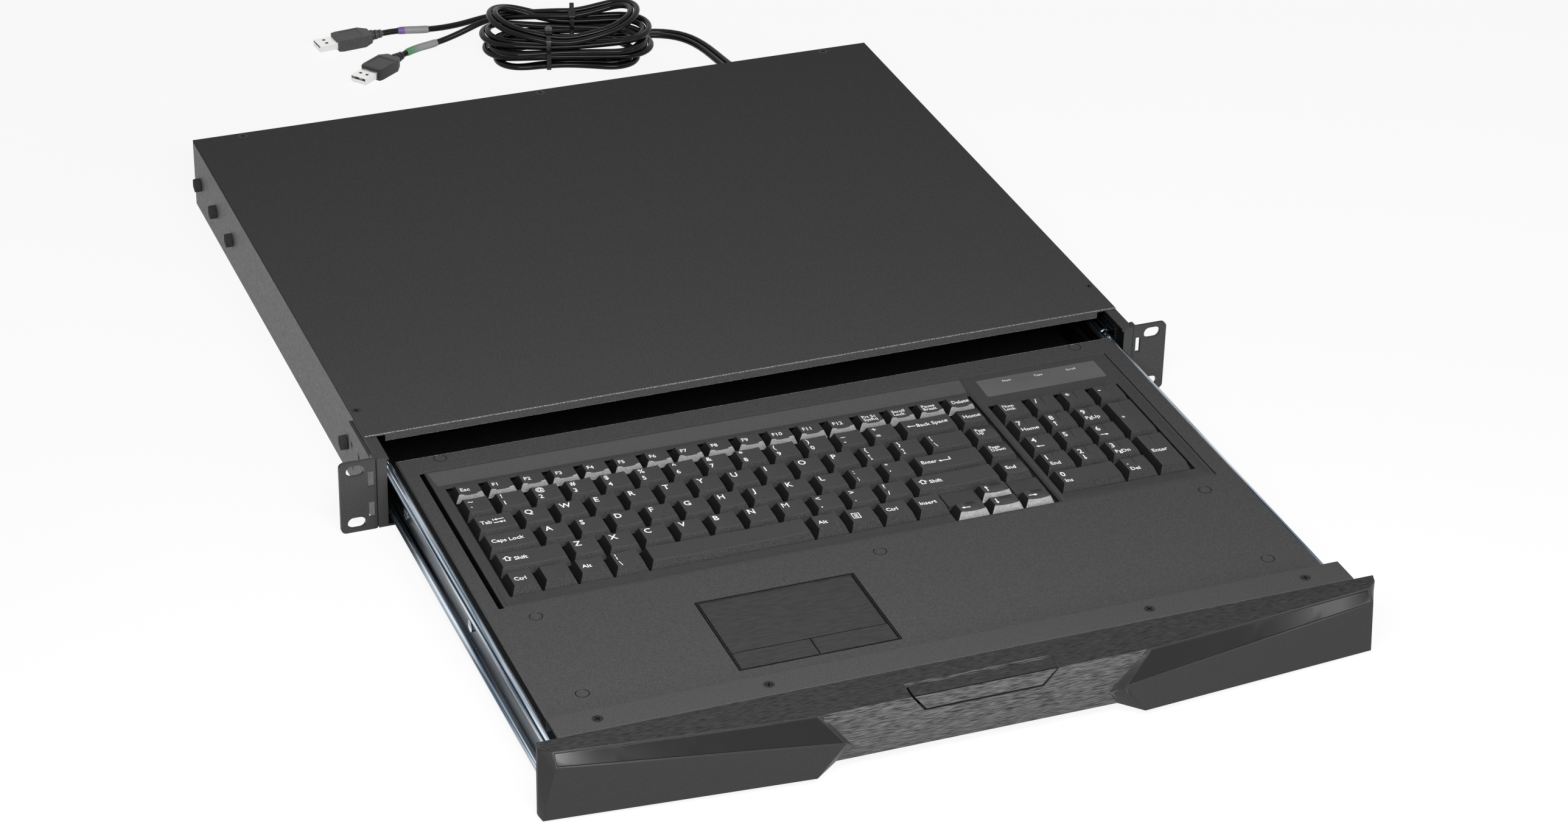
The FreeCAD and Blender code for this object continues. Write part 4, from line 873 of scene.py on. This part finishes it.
# %% Screw tree
head_sides, shank_sides = 40, 24
bar_share, bar_depth_share = 1.15, 1.2


def times(tree, value, factor):
    return add(tree, "ShaderNodeMath", {0: value, 1: factor}, operation="MULTIPLY")


def combined(tree, sides):
    return add(tree, "ShaderNodeCombineXYZ", sides)


def raised(tree, geometry, height):
    offset = combined(tree, {"Z": height})
    return add(tree, "GeometryNodeTransform", {"Geometry": geometry, "Translation": offset})


def screw_tree():
    tree = bpy.data.node_groups.new("countersunk_screws", "GeometryNodeTree")
    new_socket = tree.interface.new_socket
    new_socket("Geometry", in_out="INPUT", socket_type="NodeSocketGeometry")
    for name in ("Head Radius", "Head Height", "Shank Radius", "Shank Length", "Bar Width"):
        new_socket(name, in_out="INPUT", socket_type="NodeSocketFloat")
    new_socket("Finish", in_out="INPUT", socket_type="NodeSocketMaterial")
    new_socket("Geometry", in_out="OUTPUT", socket_type="NodeSocketGeometry")
    given = add(tree, "NodeGroupInput", {}).node.outputs
    height, length = given["Head Height"], given["Shank Length"]
    head = add(tree, "GeometryNodeMeshCone", {"Vertices": head_sides, "Radius Top": given["Head Radius"],
                                              "Radius Bottom": given["Shank Radius"], "Depth": height})
    head_down = raised(tree, head, times(tree, height, -1))
    cross = add(tree, "GeometryNodeMeshBoolean", {"Mesh 1": head_down}, operation="DIFFERENCE")
    bar_length, bar_depth = times(tree, given["Head Radius"], bar_share), times(tree, height, bar_depth_share)
    for long_side, short_side in (("X", "Y"), ("Y", "X")):
        size = combined(tree, {long_side: bar_length, short_side: given["Bar Width"], "Z": bar_depth})
        bar = add(tree, "GeometryNodeMeshCube", {"Size": size})
        tree.links.new(bar, cross.node.inputs["Mesh 2"])
    shank = add(tree, "GeometryNodeMeshCylinder", {"Vertices": shank_sides, "Radius": given["Shank Radius"],
                                                   "Depth": length})
    drop = add(tree, "ShaderNodeMath", {0: times(tree, length, -0.5), 1: height}, operation="SUBTRACT")
    shank_down = raised(tree, shank, drop)
    whole = add(tree, "GeometryNodeJoinGeometry", {"Geometry": shank_down})
    tree.links.new(cross, whole.node.inputs["Geometry"])
    turn = add(tree, "GeometryNodeInputNamedAttribute", {"Name": "turn"})
    axis = add(tree, "GeometryNodeInputNamedAttribute", {"Name": "axis"}, data_type="FLOAT_VECTOR")
    spin = add(tree, "FunctionNodeAxisAngleToRotation", {"Angle": turn})
    align = add(tree, "FunctionNodeAlignRotationToVector", {"Rotation": spin, "Vector": axis}, axis="Z")
    copies = {"Points": given["Geometry"], "Instance": whole, "Rotation": align}
    place = add(tree, "GeometryNodeInstanceOnPoints", copies)
    real = add(tree, "GeometryNodeRealizeInstances", {"Geometry": place})
    coated = add(tree, "GeometryNodeSetMaterial", {"Geometry": real, "Material": given["Finish"]})
    add(tree, "NodeGroupOutput", {"Geometry": coated})
    return tree


screws = screw_tree()
print("nodes in the screw tree:", len(screws.nodes))

# %% [markdown]
# The inputs of the tree are set by the identifiers of its sockets, because names may repeat. The result is
# made a plain mesh, which takes the place of the solids. Each screw is turned by another angle, as in life.

# %% Screws
screw_sizes = {
    "Head Radius": 2.9 * MM, "Head Height": 1.2 * MM, "Shank Radius": 1.5 * MM, "Bar Width": 0.75 * MM}
first_turn, turn_step = 0.35, 0.83
sideways, upright = 0, 2


def top_of(low, high, way):
    """Middle of a screw's head, and where it looks: up, or outwards on the side that it is on."""
    side = -1 if way == sideways and low.x < 0 else 1
    top, axis = (low + high) / 2, Vector((0, 0, 0))
    top[way], axis[way] = (high if side > 0 else low)[way], side
    return top, axis


def make_screws(node, way):
    mesh = bpy.data.meshes.new(node + "_points")
    boxes = islands(node)
    length = (boxes[0][1] - boxes[0][0])[way]
    tops = [top_of(low, high, way) for low, high in boxes]
    mesh.from_pydata([top for top, axis in tops], [], [])
    axes = mesh.attributes.new("axis", "FLOAT_VECTOR", "POINT")
    axes.data.foreach_set("vector", [value for top, axis in tops for value in axis])
    turns = mesh.attributes.new("turn", "FLOAT", "POINT")
    turns.data.foreach_set("value", [first_turn + turn_step * i for i in range(len(tops))])
    points = placed(node + "_points", mesh)
    modifier = points.modifiers.new("screws", "NODES")
    modifier.node_group = screws
    wanted = {**screw_sizes, "Shank Length": length - screw_sizes["Head Height"], "Finish": screw_black}
    for item in screws.interface.items_tree:
        if item.item_type == "SOCKET" and item.in_out == "INPUT" and item.name in wanted:
            modifier[item.identifier] = wanted[item.name]
    bpy.context.view_layer.update()
    evaluated = points.evaluated_get(bpy.context.evaluated_depsgraph_get())
    plain = bpy.data.meshes.new_from_object(evaluated)
    bpy.data.objects.remove(points)
    plain.name = node + "_finished"
    stand_in(placed(node + "_finished", plain), node)
    print(node, "screws:", len(tops), "faces:", len(plain.polygons))


for node, way in (("cover_screws", upright), ("bracket_screws", upright), ("ear_screws", sideways)):
    make_screws(node, way)

# %% [markdown]
# The bezel is one moulding. The middle of its front is brushed along the tray, its top is darker, its wings
# are matt, and its creases get a thin painted highlight in the rubbed finish. The copy is painted face by
# face:
# where a face lies and where it looks decide its finish. The inlays are hard gloss. The lever is brushed,
# with the bezel's dark top, and its rounded edges get painted shade as a dark outline.

# %% Bezel, inlays and lever
brushed_half, crease_half = 84 * MM, 90 * MM


def bezel_paint(face):
    place, normal = face.calc_center_median(), face.normal
    if normal.z > 0.8:
        return 3
    return 0 if normal.y < -0.3 and abs(normal.x) < 0.4 and abs(place.x) < brushed_half else 1


bezel = rounded("front_bezel", [bezel_brushed, bezel_matt, rubbed_edge_and_highlight, bezel_top], 0.45, shortest=12,
                degrees=14, edge_slot=2, paint=bezel_paint)
# Only the creases keep the rubbed finish, as a painted highlight; the other rounds go matt.
for face in bezel.data.polygons:
    along_tray = abs(face.normal.x) < 0.2 and abs(face.center.x) < crease_half
    on_crease = along_tray and face.normal.y < -0.2 and face.normal.z > 0.2
    if face.material_index == 2 and not on_crease:
        face.material_index = 1
# The lever's rounded edges get painted shade, a dark outline for the gap round it.
rounded("release_lever", [bezel_brushed, painted_shade, bezel_top], 0.5, shortest=4, degrees=25,
        edge_slot=1, paint=lambda face: 2 if face.normal.z > 0.6 else 0)
for node in ("bezel_inlay_left", "bezel_inlay_right"):
    rounded(node, [inlay_gloss], 0.25, shortest=2)

# %% [markdown]
# The touchpad lies flush in the panel. Narrow rounds along its gaps get painted shade, a dark line that parts
# the pad from its buttons. In the keyboard's frame the upright faces get painted shade, and the large slope
# at the well is painted lighter, as painted light.

# %% Touchpad, keyboard frame and lamp strip
for node in ("touchpad_frame", "touchpad_surface", "touchpad_button_left", "touchpad_button_right"):
    rounded(node, [touch_plastic, painted_shade], 0.4, shortest=3, edge_slot=1)


# Upright faces get painted shade; large faces that look forward get the painted light of the slope.
def frame_paint(face):
    if abs(face.normal.z) < 0.3:
        return 1
    return 2 if face.normal.y < -0.05 and face.calc_area() > 0.001 else 0


rounded("keyboard_frame", [keyboard_plastic, painted_shade, well_slope_painted_light], 0.45, shortest=4,
        paint=frame_paint)
rounded("led_window", [led_panel], 0.25, shortest=3)

# %% [markdown]
# Every key is a tapered block with a shallow dish in its top. The round of half a millimetre is what makes
# a moulded key look moulded. Tops are smooth and fronts are coarse; the flanks in the narrow gaps are
# painted near black as painted shade. On the function and arrow keys the top reaches further forward, and
# the steep front below it is painted light grey as a painted highlight.

# %% Keys
key_nodes = ("keys_function_row", "keys_number_row", "keys_upper_row", "keys_home_row", "keys_lower_row",
             "keys_bottom_row", "key_space", "keys_navigation", "keys_arrows", "keys_number_pad")
front_shift = {"keys_function_row": 2.9 * MM, "keys_arrows": 2.2 * MM}
rim_z = 14.9 * MM


def key_shape(node):
    def shape(bm):
        """Draws the front edge of each top forward."""
        bm.normal_update()
        rim = [vertex for vertex in bm.verts if vertex.co.z > rim_z
               and any(face.normal.y < -0.3 for face in vertex.link_faces)]
        for vertex in rim:
            vertex.co.y -= front_shift[node]
    return shape if node in front_shift else None


def key_paint(node):
    front = 2 if node in front_shift else 1

    def paint(face):
        if face.normal.z > 0.72:
            return 0
        # Forward faces get the coarse front finish, or the painted highlight on function and arrow keys; the
        # rest get painted shade.
        return front if face.normal.y < -0.3 else 3
    return paint


key_pieces = {}
for node in key_nodes:
    key_pieces[node] = rounded(node, [key_top, key_side, key_skirt_painted_highlight, key_flank_painted_shade], 0.5, shortest=2,
                               degrees=25, paint=key_paint(node), shape=key_shape(node))

# %% [markdown]
# Legends are text made into mesh. A line of text becomes a very thin solid, and a ray from above each of
# its vertices finds the dished top of the key, so that the print follows it. A line that is too wide for
# its key is set narrower. Arrows and other signs are outlines in millimetres, and each becomes a thin plate
# the same way.

# %% Helpers for legends
cap_share, narrowing = 0.68, 0.92
print_thickness, print_lift, print_weight = 0.03 * MM, 0.025 * MM, 0.024
ray_start_z = 0.05


def surface_of(piece):
    bm = bmesh.new()
    bm.from_mesh(piece.data)
    tree = BVHTree.FromBMesh(bm)
    bm.free()
    return tree


def height_at(surface, x, y):
    return surface.ray_cast(Vector((x, y, ray_start_z)), Vector((0, 0, -1)))[0].z


def on_surface(surface, x, y, lift):
    return Vector((x, y, height_at(surface, x, y) + print_lift + lift))


def text_mesh(line, cap, weight):
    text = bpy.data.curves.new("legend", "FONT")
    text.body, text.size = line, cap / cap_share
    text.extrude, text.offset = print_thickness / 2, weight * cap
    text.resolution_u = 2
    return mesh_from_curve("legend", text)


def lay_text(bm, line, cap, place, room, surface, weight):
    """Adds a line that starts at place, in a room of that width, and returns the width it takes."""
    mesh = text_mesh(line, cap, weight)
    first = len(bm.verts)
    bm.from_mesh(mesh)
    bpy.data.meshes.remove(mesh)
    bm.verts.ensure_lookup_table()
    across = [vertex.co.x for vertex in bm.verts[first:]]
    start, full = min(across), max(across) - min(across)
    narrow = min(narrowing, room / full)
    for vertex in bm.verts[first:]:
        x, y = place[0] + (vertex.co.x - start) * narrow, place[1] + vertex.co.y
        vertex.co = on_surface(surface, x, y, vertex.co.z)
    return full * narrow


def lay_plate(bm, outline, place, surface):
    """Adds a thin plate; the outline runs against the clock, in millimetres from place."""
    half = print_thickness / 2
    places = [(place[0] + x * MM, place[1] + y * MM) for x, y in outline]
    upper = [bm.verts.new(on_surface(surface, x, y, half)) for x, y in places]
    lower = [bm.verts.new(on_surface(surface, x, y, -half)) for x, y in places]
    bm.faces.new(upper)
    bm.faces.new(list(reversed(lower)))
    for i in range(len(places)):
        k = (i + 1) % len(places)
        bm.faces.new((upper[i], lower[i], lower[k], upper[k]))


print("text helpers are ready")

# %% [markdown]
# Every sign is a list of outlines. An arrow is drawn once, pointing left, and turned by quarters. The shift
# sign is a hollow arrow: a chain of four-cornered plates between its outer and its inner outline.

# %% Signs
def arrow(length, quarter, centre):
    """Outline of an arrow that points left, down, right or up for quarters 0 to 3."""
    half, head, wing, stem = length / 2, 1.7, 1.05, 0.33
    outline = [(-half, 0), (head - half, -wing), (head - half, -stem), (half, -stem),
               (half, stem), (head - half, stem), (head - half, wing)]
    return [turned(x, y, pi / 2 * quarter, centre) for x, y in outline]


def bar(x, y, width, height):
    return [(x, y), (x + width, y), (x + width, y + height), (x, y + height)]


def between(outer, inner):
    count = len(outer)
    return [[outer[i], outer[(i + 1) % count], inner[(i + 1) % count], inner[i]] for i in range(count)]


shift_outer = [(2.7, 4.6), (0, 2.2), (1.3, 2.2), (1.3, 0), (4.1, 0), (4.1, 2.2), (5.4, 2.2)]
shift_inner = [(2.7, 3.75), (1.6, 2.75), (1.9, 2.75), (1.9, 0.6), (3.5, 0.6), (3.5, 2.75), (3.8, 2.75)]
signs = {
    "←": [arrow(5, 0, (2.5, 1.4))],
    "↓": [arrow(5, 1, (1.1, 1.8))],
    "→": [arrow(5, 2, (2.5, 1.4))],
    "↑": [arrow(5, 3, (1.1, 1.8))],
    "↹": [arrow(5.4, 0, (3.4, 3.1)), bar(0.1, 2.1, 0.5, 2),
          arrow(5.4, 2, (2.8, 0.2)), bar(5.6, -0.8, 0.5, 2)],
    "↵": [arrow(6.6, 0, (3.3, 1)), bar(6.6, 0.67, 0.66, 3.1)],
    "⇧": between(shift_outer, shift_inner),
    "▤": [bar(0, -1, 0.5, 5.2), bar(4, -1, 0.5, 5.2), bar(0.5, -1, 3.5, 0.5),
          bar(0.5, 3.7, 3.5, 0.5), bar(1.2, 0.2, 2.1, 0.5), bar(1.2, 1.3, 2.1, 0.5), bar(1.2, 2.4, 2.1, 0.5)],
}
print("signs:", len(signs))

# %% [markdown]
# The words are the plain set of a full-size keyboard. A vertical bar parts two lines on one key, and an
# underscore parts a word from a sign beside it. Keys are taken in reading order, by their rear edge and
# then from left to right, so a list of words is enough to place them all. An empty entry leaves its key
# bare.

# %% Words of the keys
legends = {
    "keys_function_row": ["Esc", *["F%d" % number for number in range(1, 13)],
                          "Prt Sc|SysRq", "Scroll|Lock", "Pause|Break", "Delete"],
    "keys_number_row": ["~|`", "!|1", "@|2", "#|3", "$|4", "%|5", "^|6", "&|7", "*|8", "(|9", ")|0", "_|-",
                        "+|=", "←_Back Space"],
    "keys_upper_row": ["Tab_↹", *"QWERTYUIOP", "{|[", "}|]", "¦|\\"],
    "keys_home_row": ["Caps Lock", *"ASDFGHJKL", ":|;", "\"|'", "Enter_↵"],
    "keys_lower_row": ["⇧_Shift", *"ZXCVBNM", "<|,", ">|.", "?|/", "⇧_Shift"],
    "keys_bottom_row": ["Ctrl", "", "Alt", "¦|\\", "Alt", "▤", "Ctrl", "Insert"],
    "keys_navigation": ["Home", "Page|Up", "Page|Down", "End"],
    "keys_arrows": ["↑", "←", "↓", "→"],
    "keys_number_pad": ["Num|Lock", "/", "*", "-", "7|Home", "8|↑", "9|PgUp", "+", "4|←", "5", "6|→",
                        "1|End", "2|↓", "3|PgDn", "Enter", "0|Ins", ".|Del"],
}
letter_cap, upper_cap, lower_cap, word_cap, small_cap = 4.2 * MM, 3.7 * MM, 3.6 * MM, 3 * MM, 2.5 * MM
print("keys with words:", sum(bool(word) for words in legends.values() for word in words))

# %% [markdown]
# The shares below say how far each line's foot lies from the rear edge of its key. A letter stands in the
# rear half, a pair of signs at the rear and at the front, and a word in the middle.

# %% Legends of the keys
key_depth_step = 10 * MM
top_band = 0.8 * MM
left_margin, right_margin, run_gap = 1.7 * MM, 0.9 * MM, 0.8 * MM
deep_key = 20 * MM
letter_foot, pair_feet, mixed_feet, word_feet = 0.44, (0.38, 0.89), (0.46, 0.9), (4.8 * MM, 7.9 * MM)


def key_tops(node):
    """Rectangles of the key tops in reading order: left, right, front, rear."""
    tops = []
    verts = [vertex.co for vertex in nodes[node].data.vertices]
    for low, high in islands(node):
        near = [v for v in verts
                if low.x <= v.x <= high.x and low.y <= v.y <= high.y and v.z > high.z - top_band]
        tops.append((min(v.x for v in near), max(v.x for v in near),
                     min(v.y for v in near) - front_shift.get(node, 0), max(v.y for v in near)))
    return sorted(tops, key=lambda top: (-round(top[3] / key_depth_step), top[0]))


def feet(lines, depth):
    """Lines with their cap height and the distance of their foot from the rear edge."""
    single = [len(line) == 1 and line not in signs for line in lines]
    if len(lines) == 1 and single[0] and depth < deep_key:
        return [(lines[0], letter_cap, letter_foot * depth)]
    if len(lines) == 1:
        return [(lines[0], word_cap, (depth + word_cap) / 2)]
    if not single[0]:
        return [(line, small_cap, foot) for line, foot in zip(lines, word_feet)]
    caps, shares = (letter_cap, word_cap), mixed_feet
    if all(single):
        caps, shares = (upper_cap, lower_cap), pair_feet
    return [(line, cap, share * depth) for line, cap, share in zip(lines, caps, shares)]


def lay_legend(bm, words, top, surface):
    for line, cap, foot in feet(words.split("|"), top[3] - top[2]):
        x, y = top[0] + left_margin, top[3] - foot
        for run in line.split("_") if len(line) > 1 else [line]:
            if run in signs:
                for outline in signs[run]:
                    lay_plate(bm, outline, (x, y), surface)
                x += max(place[0] for outline in signs[run] for place in outline) * MM
            else:
                weight = 0 if run == "M" else print_weight
                x += lay_text(bm, run, cap, (x, y), top[1] - right_margin - x, surface, weight)
            x += run_gap


for node, words in legends.items():
    tops = key_tops(node)
    surface = surface_of(key_pieces[node])
    bm = bmesh.new()
    for top, word in zip(tops, words):
        if word:
            lay_legend(bm, word, top, surface)
    printed = object_from(bm, node + "_legends", [legend_white])
    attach(printed, body_name(node))
    print(node, "keys:", len(tops), "legends:", len(words))

# %% [markdown]
# Two more prints: the names of the three lamps, near the back of the grey strip, and the small bars on F
# and J that the fingers feel. The bars are little rounded blocks that stand on the key.

# %% Lamp names and finger bars
lamp_cap, lamp_inset, lamp_room = 1.9 * MM, 5.6 * MM, 12 * MM
strip_low, strip_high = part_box("led_window")
strip_surface = surface_of(bpy.data.objects["led_window_finished"])
bm = bmesh.new()
for word, share in (("Num", 0.2), ("Caps", 0.465), ("Scroll", 0.735)):
    x = strip_low.x + share * (strip_high.x - strip_low.x)
    lay_text(bm, word, lamp_cap, (x, strip_high.y - lamp_inset), lamp_room, strip_surface, 0)
lamp_names = object_from(bm, "lamp_names", [legend_white])
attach(lamp_names, body_name("led_window"))

home_tops = key_tops("keys_home_row")
home_surface = surface_of(key_pieces["keys_home_row"])
f_key, j_key = 4, 7
bar_size, bar_round, bar_lift, bar_inset = (2.8 * MM, 0.7 * MM, 0.6 * MM), 0.2 * MM, 0.1 * MM, 1.8 * MM
bm = bmesh.new()
for index in (f_key, j_key):
    left, right, front = home_tops[index][:3]
    x, y = (left + right) / 2, front + bar_inset
    centre = Vector((x, y, height_at(home_surface, x, y) + bar_lift))
    rounded_block(bm, centre, bar_size, 0, bar_round)
finger_bars = object_from(bm, "finger_bars", [key_top])
even_normals(finger_bars)
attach(finger_bars, body_name("keys_home_row"))
print("lamp names and finger bars are placed")

# %% [markdown]
# The last cell brings the scene up to date.

# %% Update
bpy.context.view_layer.update()
